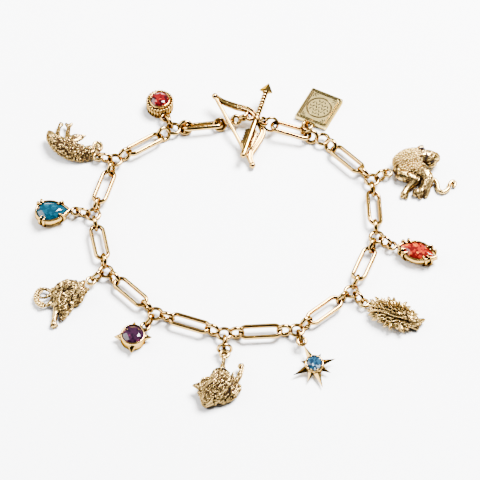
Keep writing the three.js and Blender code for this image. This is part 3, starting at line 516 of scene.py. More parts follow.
# The bow's recurved limb as shares of its depth and length, with its width; one side has a groove.
limb_rows = [(0.02, 1.0, 0.62), (0.16, 0.9, 0.85), (0.5, 0.78, 1), (0.86, 0.68, 1), (1.0, 0.58, 1),
             (1.0, 0.42, 1), (0.92, 0.33, 1), (0.5, 0.22, 1), (0.2, 0.16, 0.95), (0.05, 0.09, 0.85),
             (0.04, 0.0, 0.62)]
edge_groove = [(0.5, 0.3), (0.34, 0.5), (0.1, 0.5), (0.02, 0.38), (-0.12, 0.38), (-0.2, 0.5), (-0.36, 0.5),
               (-0.5, 0.3), (-0.5, -0.3), (-0.34, -0.5), (0.34, -0.5), (0.5, -0.3)]
bow_length, bow_depth = bow_size["length"], bow_size["depth"]
limb_width, limb_height = bow_size["limb_width"] * 1.6, bow_size["limb_height"] * 1.2
string_wire, tip_ball = bow_size["string"] * 1.4, bow_size["ball"] * 1.25
limb_route = smooth_route([(out * bow_depth, up * bow_length, 0, wide) for out, up, wide in limb_rows], 9)
bow_meshes = [
    swept(limb_route, [(u * limb_width, v * limb_height) for u, v in edge_groove]),
    swept([(0, 0.01 * bow_length, 0), (0, 0.99 * bow_length, 0)], oval_section(string_wire, string_wire)),
    ball((0, 0, 0), tip_ball), ball((0, bow_length, 0), tip_ball),
    (ring_meshes["clasp"], Matrix.Translation(grip_loop))]
bow_meshes += [ball((bow_depth, up * bow_length, 0), (0.5, 0.2, 0.58), levels=2) for up in (0.4, 0.44, 0.56, 0.6)]
set_down("clasp_bow_cast", mixed(*bow_meshes), ["clasp_bow"], bow_place)

set_down("clasp_rings_left_wire", mixed(*(
    (ring_meshes[key], turned_to(row_at(distance), row_heading, roll))
    for key, distance, roll in (("clasp", row_start, 80), ("clasp", row_start + row_step, -38),
                                ("clasp", row_start + 2 * row_step, 50), ("clasp_end", row_length, -30)))),
    ["clasp_rings_left"])
set_down("clasp_link_right_wire", ring_meshes["right_link"].copy(), ["clasp_link_right"],
         turned_to(right_link_place, right_heading, 8, -right_fall))
set_down("clasp_ring_right_wire", ring_meshes["right_ring"].copy(), ["clasp_ring_right"],
         turned_to(right_end, right_heading, 50, -right_fall))

# The arrow: two twisted wires for the upper shaft, a smooth lower shaft, a square-cut point,
# herringbone vanes and a ball at the tail, all one casting.
twist_tree, twist_in = new_tree("twisted_wires", Length=8.0, Across=0.8, Turns=7.0)
strand_radius = maths(twist_tree, "MULTIPLY", twist_in["Across"], 0.26)
coil = add_node(twist_tree, "GeometryNodeCurveSpiral", {
    "Resolution": 18, "Start Radius": strand_radius, "End Radius": strand_radius,
    "Rotations": twist_in["Turns"], "Height": twist_in["Length"]})
second = add_node(twist_tree, "GeometryNodeTransform", {0: coil, "Rotation": (0, 0, math.pi)})
both = add_node(twist_tree, "GeometryNodeJoinGeometry", {0: [coil, second]})
strand = add_node(twist_tree, "GeometryNodeCurvePrimitiveCircle", {"Resolution": 8, "Radius": strand_radius})
spun = add_node(twist_tree, "GeometryNodeCurveToMesh", {0: both, 1: strand, "Fill Caps": True})
close_tree(twist_tree, spun, cast_polished)

arrow_length, vane_reach = arrow_size["length"], arrow_size["vane"]
tail_at, twist_at = 0.02 * arrow_length, 0.5 * arrow_length
head_at = arrow_length - arrow_size["head_length"]
head_width, head_height = arrow_size["head"] / 2 * 1.16, arrow_size["head"] / 2
head_section = [(x * head_width, z * head_height) for x, z in (
    (0.98, 0), (0.15, 0.62), (-0.15, 0.62), (-0.98, 0), (-0.15, -0.62), (0.15, -0.62))]
twist = grown(twist_tree, Length=head_at - twist_at + 0.3, Across=arrow_size["shaft"] * 1.5, Turns=5.0)
arrow_meshes = [
    (twist, Matrix.Translation((0, twist_at, 0)) @ Matrix.Rotation(-math.pi / 2, 4, "X")),
    swept([(0, tail_at, 0), (0, twist_at + 0.2, 0)], oval_section(1.3, 1.3)),
    swept([(0, twist_at, 0), (0, twist_at + 0.5, 0)], oval_section(1.36, 1.36)),
    ball((0, tail_at, 0), arrow_size["ball"] * 1.2),
    swept([(0, head_at, 0, 1), (0, head_at + 0.25, 0, 0.96), (0, arrow_length - 0.1, 0, 0.05)],
          head_section, smooth=False),
    (ring_meshes["eye"], Matrix.Translation(eye_place) @ Matrix.Rotation(math.pi / 2, 4, "X"))]
vane_middle = 0.27 * arrow_length
for side in (1, -1):
    for k in range(6):
        foot = vane_middle + arrow_size["vane_length"] * (0.44 - 0.155 * k)
        tip = foot - vane_reach * 0.45
        arrow_meshes.append(swept(
            [(side * 0.2, foot, -0.1, 1), (side * vane_reach * 0.6, (foot + tip) / 2, -0.12, 1),
             (side * vane_reach * 1.02, tip, -0.14, 0.7)], oval_section(0.44, 0.62, 10)))
    arrow_meshes.append(swept(
        [(side * 0.5, vane_middle + 1.9, -0.08, 0.4), (side * 0.8, vane_middle + 1.2, -0.08, 1),
         (side * 0.8, vane_middle - 2.2, -0.08, 1), (side * 0.5, vane_middle - 2.9, -0.08, 0.4)],
        oval_section(1.1, 0.3, 10)))
set_down("clasp_arrow_cast", mixed(*arrow_meshes), ["clasp_arrow"], arrow_place)


# Gem charms: cut glass-bright stones held in gold-plated cast settings. The round red one sits in a
# smooth bezel above a drum of upright ribs with a row of beads.
def gem_material(name, deep, middle, bright):
    """Cut glass: the stone's own colour, with painted light and shade: small random cells, from nearly black to
    bright, stand for the light thrown about inside its facets.
    """
    material, tree, shader = new_material(name, middle, 0.0, 0.02)
    place = add_node(tree, "ShaderNodeTexCoord").outputs["Object"]
    facets = add_node(tree, "ShaderNodeTexVoronoi", {"Vector": place, "Scale": 2100.0})
    chance = add_node(tree, "ShaderNodeSeparateColor", {0: facets.outputs["Color"]})
    # Painted light: about two fifths of the cells are painted dark shade, a few are painted bright glints, and the
    # rest take the stone's own colour.
    painted_sparkle = ramp_of(tree, chance, [(0.0, deep), (0.4, deep), (0.5, middle), (0.85, middle), (0.97, bright)])
    feed(shader, {"Base Color": painted_sparkle, "IOR": 1.6, "Specular IOR Level": 0.24, "Transmission Weight": 0.2})
    return material


def as_round(u, v):
    return u, v


def lathed(profile, sides, outline=as_round, material=cast_polished, smooth=True, close=True):
    """A turned form; an outline bends its round plan to a pear or a marquise."""
    shape = bmesh.new()
    rings = []
    for radius, z in profile:
        if radius < 1e-6:
            rings.append([shape.verts.new((0, 0, z))])
            continue
        plan = [outline(x, y) for x, y in round_of(sides)]
        rings.append([shape.verts.new((x * radius, y * radius, z)) for x, y in plan])
    pairs = list(zip(rings, rings[1:]))
    if close:
        pairs.append((rings[-1], rings[0]))
    for a, b in pairs:
        if len(a) == 1 and len(b) == 1:
            continue
        for k in range(sides):
            n = (k + 1) % sides
            corners_of_face = [a[0]] if len(a) == 1 else [a[k], a[n]]
            corners_of_face += [b[0]] if len(b) == 1 else [b[n], b[k]]
            shape.faces.new(corners_of_face)
    for face in shape.faces:
        face.smooth = smooth
    return mesh_of(shape, "lathed", material)


# A stone's girdle lies under its rim, and its point under its girdle, by these shares of its radius.
girdle_drop, stone_depth = 0.12, 0.62


def cut_stone(radius, material, outline=as_round):
    """A cut stone: a table, star, bezel and girdle facets above, and two rows of facets to its point."""
    shape = bmesh.new()

    def ring(count, share, z, turn=0.0):
        plan = [outline(x, y) for x, y in round_of(count, turn)]
        return [shape.verts.new(Vector((x * share, y * share, z)) * radius) for x, y in plan]

    table = ring(8, 0.58, 0.3)
    star = ring(8, 0.8, 0.2, 0.5)
    top = ring(16, 1.0, 0.05)
    low = ring(16, 1.0, -0.05)
    deep = ring(8, 0.5, -0.38, 0.5)
    tip = shape.verts.new(Vector((0, 0, -stone_depth)) * radius)
    shape.faces.new(table)
    for k in range(8):
        n, p = (k + 1) % 8, (k - 1) % 8
        for facet in ((table[k], table[n], star[k]), (table[k], star[p], top[2 * k], star[k]),
                      (star[k], top[2 * k], top[2 * k + 1]),
                      (star[k], top[2 * k + 1], top[(2 * k + 2) % 16]),
                      (tip, deep[k], low[2 * k], deep[p]), (deep[k], low[2 * k + 1], low[2 * k]),
                      (deep[k], low[(2 * k + 2) % 16], low[2 * k + 1])):
            shape.faces.new(facet)
    bridge(shape, [low, top])
    return mesh_of(shape, "stone", material)


def cup(radius, outer, rim, outline=as_round, sides=48):
    """A setting's cup: its inside follows the stone with a little air, down to a closed foot."""
    girdle = rim - girdle_drop * radius
    foot = girdle - stone_depth * radius - 0.24
    inside = [(radius + 0.05, rim), (radius + 0.1, girdle - 0.06 * radius - 0.12), (radius * 0.12, foot), (0, foot)]
    return lathed([*outer, *inside], sides, outline)


def hung(place, heading=0):
    return turned_to((place.x, place.y, 0), heading)


def raised(height):
    return Matrix.Translation((0, 0, height))


def set_gem_charm(name, parts, place, centre, radius, rim, glass, outline=as_round):
    """Sets down a charm's mount and its stone, whose girdle lies just under the mount's rim."""
    set_down(f"{name}_mount", mixed(*parts), [f"{name}_setting"], place)
    seat = centre + Vector((0, 0, rim - girdle_drop * radius))
    set_down(f"{name}_gem", cut_stone(radius, glass, outline), [f"{name}_stone"],
             place @ Matrix.Translation(seat))


ribs_tree, ribs_in = new_tree("round_of_ribs", Count=22, Radius=2.7, Rib=0.28, Height=2.0, Bead=0.34)
circle = add_node(ribs_tree, "GeometryNodeMeshCircle", {"Vertices": ribs_in["Count"], "Radius": ribs_in["Radius"]})
rib = add_node(ribs_tree, "GeometryNodeMeshCylinder", {
    "Vertices": 10, "Radius": ribs_in["Rib"], "Depth": ribs_in["Height"]})
bead = add_node(ribs_tree, "GeometryNodeMeshIcoSphere", {"Subdivisions": 2, "Radius": ribs_in["Bead"]})
lift = add_node(ribs_tree, "ShaderNodeCombineXYZ", {2: maths(ribs_tree, "MULTIPLY", ribs_in["Height"], 0.5)})
lifted = add_node(ribs_tree, "GeometryNodeTransform", {0: bead, "Translation": lift})
pair = add_node(ribs_tree, "GeometryNodeJoinGeometry", {0: [rib, lifted]})
spread = add_node(ribs_tree, "GeometryNodeInstanceOnPoints", {"Points": circle, "Instance": pair})
close_tree(ribs_tree, spread, cast_polished)

red_glass = gem_material("red_stone", (0.016, 0.0, 0.001), (0.085, 0.001, 0.002), (0.3, 0.025, 0.006))
drum_across, drum_seat, drum_rim = 6.1, 1.95, 3.4
drum_centre = Vector((drum_across / 2 + loop_half - 2 * solder_bite, 0, 0))
ribs = grown(ribs_tree, Count=26, Radius=2.72, Rib=0.25, Height=2.3, Bead=0.33)
drum_body = cup(drum_seat, [
    (0, 0), (2.6, 0), (2.8, 0.12), (2.8, 0.3), (2.6, 0.45), (2.6, 2.4), (2.5, 2.75), (2.3, 2.9), (2.3, 3.3),
    (2.24, 3.4), (2.1, 3.42)], drum_rim)
set_gem_charm("round_charm", [
    (drum_body, Matrix.Translation(drum_centre)), (ribs, Matrix.Translation(drum_centre + Vector((0, 0, 1.5)))),
    (ring_meshes["loop"], raised(loop_high))], hung(loops[0], 109), drum_centre, drum_seat, drum_rim, red_glass)


# The pear-shaped blue and the marquise orange stone stand in open cups with claws, cast in one piece,
# plated, with the claws' tips pressed over the girdle.
def pear_outline(length, width):
    return lambda u, v: (u, v) if u > 0 else (u * (2 * length / width - 1), v * abs(v))


def marquise_outline(length, width):
    return lambda u, v: (u * length / width, v * abs(v))


def claw_charm(name, number, heading, sizes, outline_of, claws, glass):
    length, width, height = sizes
    outline = outline_of(length, width)
    radius, wall, prong = width / 2, 0.35, 0.8
    seat = radius - wall / 2
    shift = outline(1, 0)[0] * width / 2 - length / 2
    centre = Vector((length / 2 + wall * length / width + loop_half - solder_bite - shift, 0, 0))
    body = cup(seat, [(0, 0), (radius * 0.7, 0), (radius * 0.78, 0.12), (radius * 0.74, 0.35),
                      (radius + wall - 0.12, height * 0.45), (radius + wall, height * 0.55),
                      (radius + wall - 0.04, height - 0.1), (radius + wall * 0.5, height)], height, outline, 64)
    parts = [(body, Matrix.Translation(centre)), (ring_meshes["loop"], raised(loop_high))]
    reach = radius + wall + prong / 4
    for turn in claws:
        x, y = outline(math.cos(math.radians(turn)), math.sin(math.radians(turn)))
        foot, waist, tip, hook = (centre + Vector((x * out, y * out, z)) for out, z in (
            (reach * 0.78, 0.1), (reach, height * 0.6), (reach * 0.97, height + 0.2), (seat * 0.93, height + 0.28)))
        bar = smooth_route([(*foot, 0.7), (*waist, 0.95), (*tip, 1.0), (*hook, 0.75)], 6)
        parts += [swept(bar, oval_section(prong * 0.75, prong * 0.75, 12), up=Vector((y, -x, 0.1))),
                  ball(tip, prong * 0.4, levels=2), ball(hook, prong * 0.32, levels=2)]
    set_gem_charm(name, parts, hung(loops[number - 1], heading), centre, seat, height, glass, outline)


teal_glass = gem_material("teal_stone", (0.0, 0.018, 0.032), (0.0, 0.03, 0.05), (0.002, 0.05, 0.076))
orange_glass = gem_material("orange_stone", (0.06, 0.001, 0.001), (0.2, 0.009, 0.003), (0.5, 0.11, 0.01))
claw_charm("pear_charm", 3, 186, (6.9, 5.1, 2.6), pear_outline, [48, 66, -48, -66, 128, -128],
           teal_glass)
claw_charm("marquise_charm", 9, -20, (8.0, 4.5, 2.5), marquise_outline, [42, 58, 122, 138, -42, -58, -122, -138],
           orange_glass)

# The purple stone sits in a plain bezel that carries four cone spikes; the blue one in the middle of
# an eight-rayed star with a ridge along each ray. Both are cast, plated and polished.
purple_glass = gem_material("purple_stone", (0.006, 0.001, 0.006), (0.015, 0.003, 0.012), (0.06, 0.008, 0.028))
bezel_seat, bezel_across, bezel_rim, bezel_heading = 2.2, 5.2, 2.5, 225
bezel_centre = Vector((bezel_across / 2 + loop_half - solder_bite, 0, 0))
bezel_parts = [
    (cup(bezel_seat, [(0, 0), (2.3, 0), (2.55, 0.25), (2.6, 0.5), (2.6, 2.3), (2.52, 2.46), (2.38, 2.5)], bezel_rim),
     Matrix.Translation(bezel_centre)),
    (ring_meshes["loop"], raised(loop_high))]
for turn in (0, 86, 178, 266):
    spike_way = along(turn - bezel_heading)
    bezel_parts.append(swept(
        [(*(bezel_centre + spike_way * r + Vector((0, 0, bezel_rim / 2))), s)
         for r, s in ((2.2, 1.0), (2.75, 1.0), (2.85, 0.86), (3.95, 0.08))], oval_section(1.5, 1.5, 20)))
set_gem_charm("spiked_charm", bezel_parts, hung(loops[4], bezel_heading), bezel_centre, bezel_seat, bezel_rim,
              purple_glass)

star_glass = gem_material("pale_blue_stone", (0.003, 0.014, 0.03), (0.008, 0.04, 0.075), (0.5, 0.64, 0.76))
star_parts = [cup(star_size["seat"], [(0, 0), (1.7, 0), (1.95, 0.25), (2.0, 0.5), (2.0, 1.8), (1.92, 1.96),
                                      (1.8, 2.0)], star_size["height"])]
ray_section = [(0.82, 0), (0.3, 0.24), (0, 0.44), (-0.3, 0.24), (-0.82, 0), (0, -0.4)]
for size, rays in ((star_size["long_ray"], ((115, 1), (208, 0.98), (288, 1.06), (18, 0.9))),
                   (star_size["short_ray"], ((62, 0.8), (162, 0.8), (250, 1.1), (332, 1.05)))):
    for turn, share in rays:
        ray_way = along(turn)
        star_parts.append(swept(
            [(*(ray_way * r + Vector((0, 0, star_size["middle"]))), s)
             for r, s in ((1.6, 1.0), (share * size * 0.6, 0.56), (share * size * 0.985, 0.05))],
            ray_section, smooth=False))
star_way = Vector((math.cos(star_turn), math.sin(star_turn), 0)) * star_reach
star_parts.append((ring_meshes["loop"], Matrix.Translation(star_way + Vector((0, 0, star_size["middle"])))))
for k in range(8):
    claw_at = along(22.5 + 45 * k, 1.66)
    star_parts.append(ball((claw_at.x, claw_at.y, 2.02), 0.26, levels=2))
star_lift = Vector((0, 0, star_size["bezel"] * math.sin(star_tilt)))
star_place = Matrix.Translation(loops[6] - star_way + star_lift) @ Matrix.Rotation(star_tilt, 4, "X")
set_gem_charm("star_charm", star_parts, star_place, Vector(), star_size["seat"], star_size["height"], star_glass)


# Plaque: a flat cast plate with a raised double border, a round frame and small corner ornaments,
# in paler gold with a dark wash left in its recesses.
def washed_gold_with_painted_shade(name, tint, wash, metallic=1.0, shine=0.5):
    """Cast metal with a dark wash and painted shade: the wash fills what lies deep, ambient occlusion paints shade in
    corners and between parts, and the raised parts are rubbed bright.
    """
    material, tree, shader = new_material(name, tint, metallic, 0.3)
    place = add_node(tree, "ShaderNodeTexCoord").outputs["Object"]
    speck = add_node(tree, "ShaderNodeTexNoise", {
        "Vector": place, "Scale": 2600.0, "Detail": 5.0, "Roughness": 0.7})
    # Painted shade: ambient occlusion darkens corners, undersides and the gaps between parts; the depth attribute from
    # the tooling is the wash.
    corner = add_node(tree, "ShaderNodeAmbientOcclusion", {"Distance": 0.0012}, samples=6)
    depth = add_node(tree, "ShaderNodeAttribute", attribute_name="depth").outputs["Fac"]
    clear_of_wash_and_painted_shade = maths(tree, "SUBTRACT", corner.outputs["AO"], maths(tree, "MULTIPLY", depth, 0.95))
    total = maths(tree, "ADD", clear_of_wash_and_painted_shade, maths(tree, "MULTIPLY_ADD", speck, 0.35, -0.17))
    middle = tuple(0.4 * a + 0.6 * b for a, b in zip(tint, wash))
    feed(shader, {
        "Base Color": ramp_of(tree, total, [(0.22, wash), (0.5, middle), (0.78, tint)]),
        "Roughness": add_node(tree, "ShaderNodeMapRange", {0: total, 1: 0.2, 2: 0.8, 3: 0.55, 4: 0.2}),
        "Normal": add_node(tree, "ShaderNodeBump", {"Height": speck, "Strength": 0.25, "Distance": 0.00003}),
        "Specular Tint": (0.4, 0.28, 0.16, 1), "Specular IOR Level": shine})
    return material


# The dark colour of each is both its wash and the painted shade that the occlusion adds.
cast_gold = washed_gold_with_painted_shade("washed_gold_with_painted_shade", (0.5, 0.33, 0.11), (0.026, 0.014, 0.006))
plate_gold = washed_gold_with_painted_shade("washed_plate_with_painted_shade", (0.72, 0.55, 0.2), (0.035, 0.022, 0.008))
# A dark colour: the wash in the plaque's dashes and scrolls, and painted shade in the boar's gaps and the lion's
# slits.
painted_shade_and_wash = washed_gold_with_painted_shade("dark_wash_with_painted_shade", (0.01, 0.0065, 0.004), (0.005, 0.003, 0.002), 0.0, 0.1)


def rim_of(half_x, half_y, wall, low, high, notch):
    """A raised rectangular border with clipped corners and rounded top edges."""
    route_points = []
    for sx, sy in ((1, 1), (-1, 1), (-1, -1), (1, -1)):
        first, last = (sx * half_x, sy * (half_y - notch)), (sx * (half_x - notch), sy * half_y)
        route_points += [first, last] if sx * sy > 0 else [last, first]
    shape = bmesh.new()
    levels = [(0, low), (0, high - 0.06), (0.06, high), (wall - 0.06, high), (wall, high - 0.06), (wall, low)]
    rings = [[shape.verts.new((x * (1 - inset / half_x), y * (1 - inset / half_y), z)) for x, y in route_points]
             for inset, z in levels]
    bridge(shape, rings + rings[:1])
    return mesh_of(shape, "rim", plate_gold)


def field_of(half_x, half_y, hole, low, high, sides=64):
    """A flat raised field with a round hole, its edges a little rounded."""
    shape = bmesh.new()
    edges, bores = [], []
    for level, out in ((low, 0.0), (high - 0.05, 0.0), (high, 0.05)):
        edge, bore = [], []
        for x, y in round_of(sides):
            far = min((half_x - out) / max(abs(x), 1e-6), (half_y - out) / max(abs(y), 1e-6))
            edge.append(shape.verts.new((x * far, y * far, level)))
            bore.append(shape.verts.new((x * (hole + out), y * (hole + out), level)))
        edges.append(edge)
        bores.append(bore)
    bridge(shape, edges + bores[::-1] + edges[:1])
    return mesh_of(shape, "field", plate_gold)


plate = bmesh.new()
bmesh.ops.create_cube(plate, size=1)
bmesh.ops.bevel(plate, geom=plate.edges, offset=0.02, segments=1, affect="EDGES")
plate_mesh = mesh_of(plate, "plate", plate_gold)
plate_mesh.transform(Matrix.Diagonal((7.4, 8.7, 0.95, 1)))
stain = plate_mesh.attributes.new("depth", "FLOAT", "POINT")
for point in stain.data:
    point.value = 1.0
relief_low, relief_top = 0.8, 1.14
medallion = [(0, relief_low), (2.5, relief_low), (2.5, relief_top - 0.05), (2.45, relief_top), (0, relief_top)]
plaque_parts = [
    (plate_mesh, raised(0.475)), rim_of(3.75, 4.4, 0.28, 0.2, 1.2, 0.25),
    rim_of(3.26, 3.91, 0.16, relief_low, 1.19, 0.5), field_of(2.9, 3.55, 2.78, relief_low, relief_top),
    lathed(medallion, 56, material=plate_gold, smooth=False, close=False)]

# Short dashes fill the round frame in place of words, and four small scrolls each corner.
for row in range(-2, 3):
    for k in range(-3, 4):
        x, y = 0.66 * k + 0.33 * (row % 2), 0.86 * row
        if x * x + y * y < 4.6:
            dash = ball((0, 0, 0), (0.4 + 0.06 * ((k + row) % 3), 0.16, 0.07), painted_shade_and_wash, 1)
            plaque_parts.append((dash, turned_to((x, y, relief_top), 52 * (-1) ** (k + row))))
for sx in (1, -1):
    for sy in (1, -1):
        for dx, dy, turn in ((0.0, 0.0, 45), (-0.46, 0.16, 10), (0.14, -0.5, 80), (-0.3, -0.34, 45)):
            scroll = ball((0, 0, 0), (0.42, 0.15, 0.07), painted_shade_and_wash, 1)
            place = turned_to((sx * (2.45 + dx), sy * (3.1 + dy), relief_top), turn * sx * sy)
            plaque_parts.append((scroll, place))
plaque_loop = 0.95
plaque_shift = Matrix.Translation((0, 8.8 / 2 + loop_half - solder_bite, 0))
set_down("plaque_charm_cast", mixed(
    (mixed(*plaque_parts), plaque_shift), (ring_meshes["loop"], raised(plaque_loop))),
    ["plaque_charm"], hung(plaque_jump + along(46, loop_reach(plaque_loop) - play), -27))

# Animal charms: five small brass castings, plated in pale gold, with a dark wash left in the fur,
# scales and folds. Each is one solid with its hanging loop; its swellings and limbs are laid out in
# millimetres where the camera's picture shows them, at the height that they have above the table.
pixel_size, picture_middle = 0.2126, (244.5, 245)


def seen(across, down, z):
    """The point at height z that the camera shows at a place of its picture."""
    away, s, c = camera_distance * 1000, math.sin(elevation), math.cos(elevation)
    reach = away / pixel_size
    a = picture_middle[1] - down
    y = (a * (away - z * s) - reach * z * c) / (reach * s - a * c)
    return Vector(((across - picture_middle[0]) * (away + y * c - z * s) / reach, y, z))


def stroke(rows, steps=8, flat=1.0, material=cast_gold):
    """A row of close balls along a soft curve; each row gives a place in the picture, a height and a radius."""
    points = [(*seen(*row[:3]), row[3]) for row in rows]
    route_points = smooth_route(points, steps) if len(points) > 1 else points
    return [ball(p[:3], (p[3], p[3], p[3] * flat), material, 2) for p in route_points]


def strokes(*lines, **finish):
    return [one for rows in lines for one in stroke(rows, **finish)]


def fused(balls, fineness=0.08, soften=2):
    """One closed skin over all the balls."""
    host = bpy.data.objects.new("clay", mixed(*balls))
    bpy.context.scene.collection.objects.link(host)
    skin = host.modifiers.new("skin", "REMESH")
    skin.mode = "VOXEL"
    skin.voxel_size = fineness
    skin.use_smooth_shade = True
    even = host.modifiers.new("even", "SMOOTH")
    even.factor = 0.5
    even.iterations = soften
    return plain_mesh(host)


# Hair, scales and folds are pressed into a skin: streaks combed one way, round cells, or a mixture.
skin_tree, skin_in = new_tree("tooled_skin", Grain=2.0, Depth=0.25, Cells=0.0, Stretch=0.8, Comb=(1, 0, 0))
vectors = "ShaderNodeVectorMath"
where = add_node(skin_tree, "GeometryNodeInputPosition")
comb = maths(skin_tree, "NORMALIZE", skin_in["Comb"], kind=vectors)
share = maths(skin_tree, "DOT_PRODUCT", where, comb, kind=vectors).outputs["Value"]
pull = maths(skin_tree, "MULTIPLY", share, skin_in["Stretch"])
pulled = add_node(skin_tree, vectors, {0: comb, "Scale": pull}, operation="SCALE")
combed = maths(skin_tree, "SUBTRACT", where, pulled, kind=vectors)
drift_noise = add_node(skin_tree, "ShaderNodeTexNoise", {"Vector": where, "Scale": 0.55, "Detail": 1.0})
drifted = maths(skin_tree, "ADD", combed, drift_noise.outputs["Color"], kind=vectors)
streaks = add_node(skin_tree, "ShaderNodeTexNoise", {
    "Vector": drifted, "Scale": skin_in["Grain"], "Detail": 2.5, "Roughness": 0.55})
cells = add_node(skin_tree, "ShaderNodeTexVoronoi", {
    "Vector": drifted, "Scale": skin_in["Grain"], "Randomness": 0.75})
streak_height = add_node(skin_tree, "ShaderNodeMapRange", {0: streaks, 1: 0.36, 2: 0.6, 3: 0.0, 4: 1.0})
cell_height = add_node(skin_tree, "ShaderNodeMapRange", {0: cells, 1: 0.25, 2: 0.62, 3: 1.0, 4: 0.0})
chosen = add_node(skin_tree, "ShaderNodeMix", {0: skin_in["Cells"], 2: streak_height, 3: cell_height})
noted = add_node(skin_tree, "GeometryNodeStoreNamedAttribute", {
    "Geometry": skin_in["Geometry"], "Name": "depth", "Value": maths(skin_tree, "SUBTRACT", 1.0, chosen)},
    data_type="FLOAT", domain="POINT")
amount = maths(skin_tree, "MULTIPLY", maths(skin_tree, "SUBTRACT", chosen, 0.6), skin_in["Depth"])
facing = add_node(skin_tree, "GeometryNodeInputNormal")
moved = add_node(skin_tree, vectors, {0: facing, "Scale": amount}, operation="SCALE")
tooled = add_node(skin_tree, "GeometryNodeSetPosition", {"Geometry": noted, "Offset": moved})
close_tree(skin_tree, tooled, cast_gold)


def recast(mesh):
    copy = mesh.copy()
    copy.materials.clear()
    copy.materials.append(cast_gold)
    return copy


def add_animal(name, number, skins, extras=(), loop_at=None):
    """One casting: its tooled skins, small added parts and the loop that it hangs from."""
    loop_at = loop_at or (loops[number - 1] + Vector((0, 0, hangings[number - 1][2])))
    whole = mixed(*skins, *extras, (recast(ring_meshes["loop"]), Matrix.Translation(loop_at)))
    for vertex in whole.vertices:
        vertex.co.z = max(vertex.co.z, 0.05)
    set_down(f"{name}_cast", whole, [name])


# Charm 2: a creature with a fish's tail, lying on its side; two forelegs, a leaf fin, a coiled tail.
# It is cast in one piece in pale gold, its scales tooled and the wash left between them.
coil_rows = [(91, 153, 1.6, 0.75)]
for k in range(17):
    turn = math.radians(-110 + 34 * k)
    ring_radius = 5.6 * (1 - k / 22)
    coil_rows.append((97 + ring_radius * math.cos(turn), 146 - 0.88 * ring_radius * math.sin(turn),
                      1.7 + 0.04 * k, 0.46 - 0.014 * k))
scaled = grown(skin_tree, fused(strokes(
    [(52, 138, 2.0, 1.1), (57, 143, 2.1, 1.7), (65, 147, 2.1, 2.0), (74, 150.5, 1.9, 1.9), (83, 152, 1.6, 1.5),
     (90, 151, 1.5, 1.0)],
    [(50, 141, 1.0, 0.4), (55, 149, 1.0, 0.55), (65, 155.5, 1.0, 0.6), (77, 159, 1.0, 0.6), (88, 158, 1.1, 0.5),
     (96, 155, 1.2, 0.4)]), 0.085, 3), Grain=2.3, Depth=0.3, Cells=1.0, Stretch=0.3, Comb=(0.85, -0.5, 0))
limbs = grown(skin_tree, fused(
    strokes([(56, 142, 2.0, 1.1), (51.5, 136.5, 2.3, 1.1), (50, 133, 2.4, 0.65)],
            [(50, 139, 2.0, 0.8), (48.8, 135.5, 1.8, 0.6)],
            [(61, 143, 2.1, 1.0), (58, 136, 1.9, 0.62), (59, 129, 1.5, 0.42), (61.5, 124.5, 1.3, 0.55)],
            [(70, 144, 2.1, 0.9), (68, 136, 1.8, 0.6), (69, 129, 1.4, 0.42), (68.5, 126, 1.3, 0.5)],
            [(68.5, 127, 1.3, 0.45), (66.5, 124.2, 1.25, 0.36)],
            [(68.8, 127, 1.3, 0.45), (71.8, 124.2, 1.25, 0.36)],
            [(86, 152, 1.6, 1.0), (90, 149, 1.7, 0.85)])
    + stroke(coil_rows, 3)
    + strokes([(97, 146, 2.0, 0.55)], [(96, 152, 1.5, 0.6), (100, 157, 1.5, 0.35)])),
    Grain=2.2, Depth=0.14, Cells=0.2, Stretch=0.8, Comb=(0.1, 1, 0))
fin = grown(skin_tree, fused(stroke(
    [(68, 141, 2.3, 1.0), (73, 139.5, 2.5, 1.25), (79, 137.5, 2.4, 0.95), (85, 136, 2.2, 0.3)], flat=0.45)),
    Grain=2.6, Depth=0.2, Cells=0.0, Stretch=0.92, Comb=(1, 0.25, 0))
mane_bits = [ball(seen(54 + 2.2 * k + (k % 3), 139.5 + 1.2 * math.sin(2.4 * k), 3.1 + 0.2 * math.sin(k)),
                  0.34, cast_gold, 2) for k in range(8)]
add_animal("coiled_tail_charm", 2, [scaled, limbs, fin], mane_bits)

# Charm 4: a humped furry beast; two legs stretched out and a tail that curls into a beaded ring.
# It is cast in one piece, with deep fur on its back and smooth legs and tail.
tail_middle, tail_radius = (44.5, 297), 8.0
beast_ring = []
for k in range(25):
    turn = math.radians(38 + 14.6 * k)
    beast_ring.append((tail_middle[0] + tail_radius * math.cos(turn),
                       tail_middle[1] - 8.6 * math.sin(turn) * 0.95, 1.0, 0.42))
fur = grown(skin_tree, fused(strokes(
    [(61, 289, 2.2, 1.5), (68, 287.5, 2.9, 1.8), (76, 288.5, 2.9, 1.7), (82, 291, 2.2, 1.2)],
    [(64, 298, 2.0, 1.7), (62, 305, 1.6, 1.5), (64, 312, 1.2, 1.1), (62, 318, 0.9, 0.5)],
    [(70, 303, 1.4, 1.1), (69.5, 310, 1.0, 0.55)],
    [(59, 294, 1.8, 1.4), (58, 301, 1.5, 1.0)],
    [(79, 296, 1.7, 1.3), (76, 301.5, 1.1, 0.9)],
    [(71, 294, 2.2, 1.9)]), 0.085, 3), Grain=2.4, Depth=0.42, Cells=0.25, Stretch=0.8, Comb=(0.5, 0.8, -0.3))
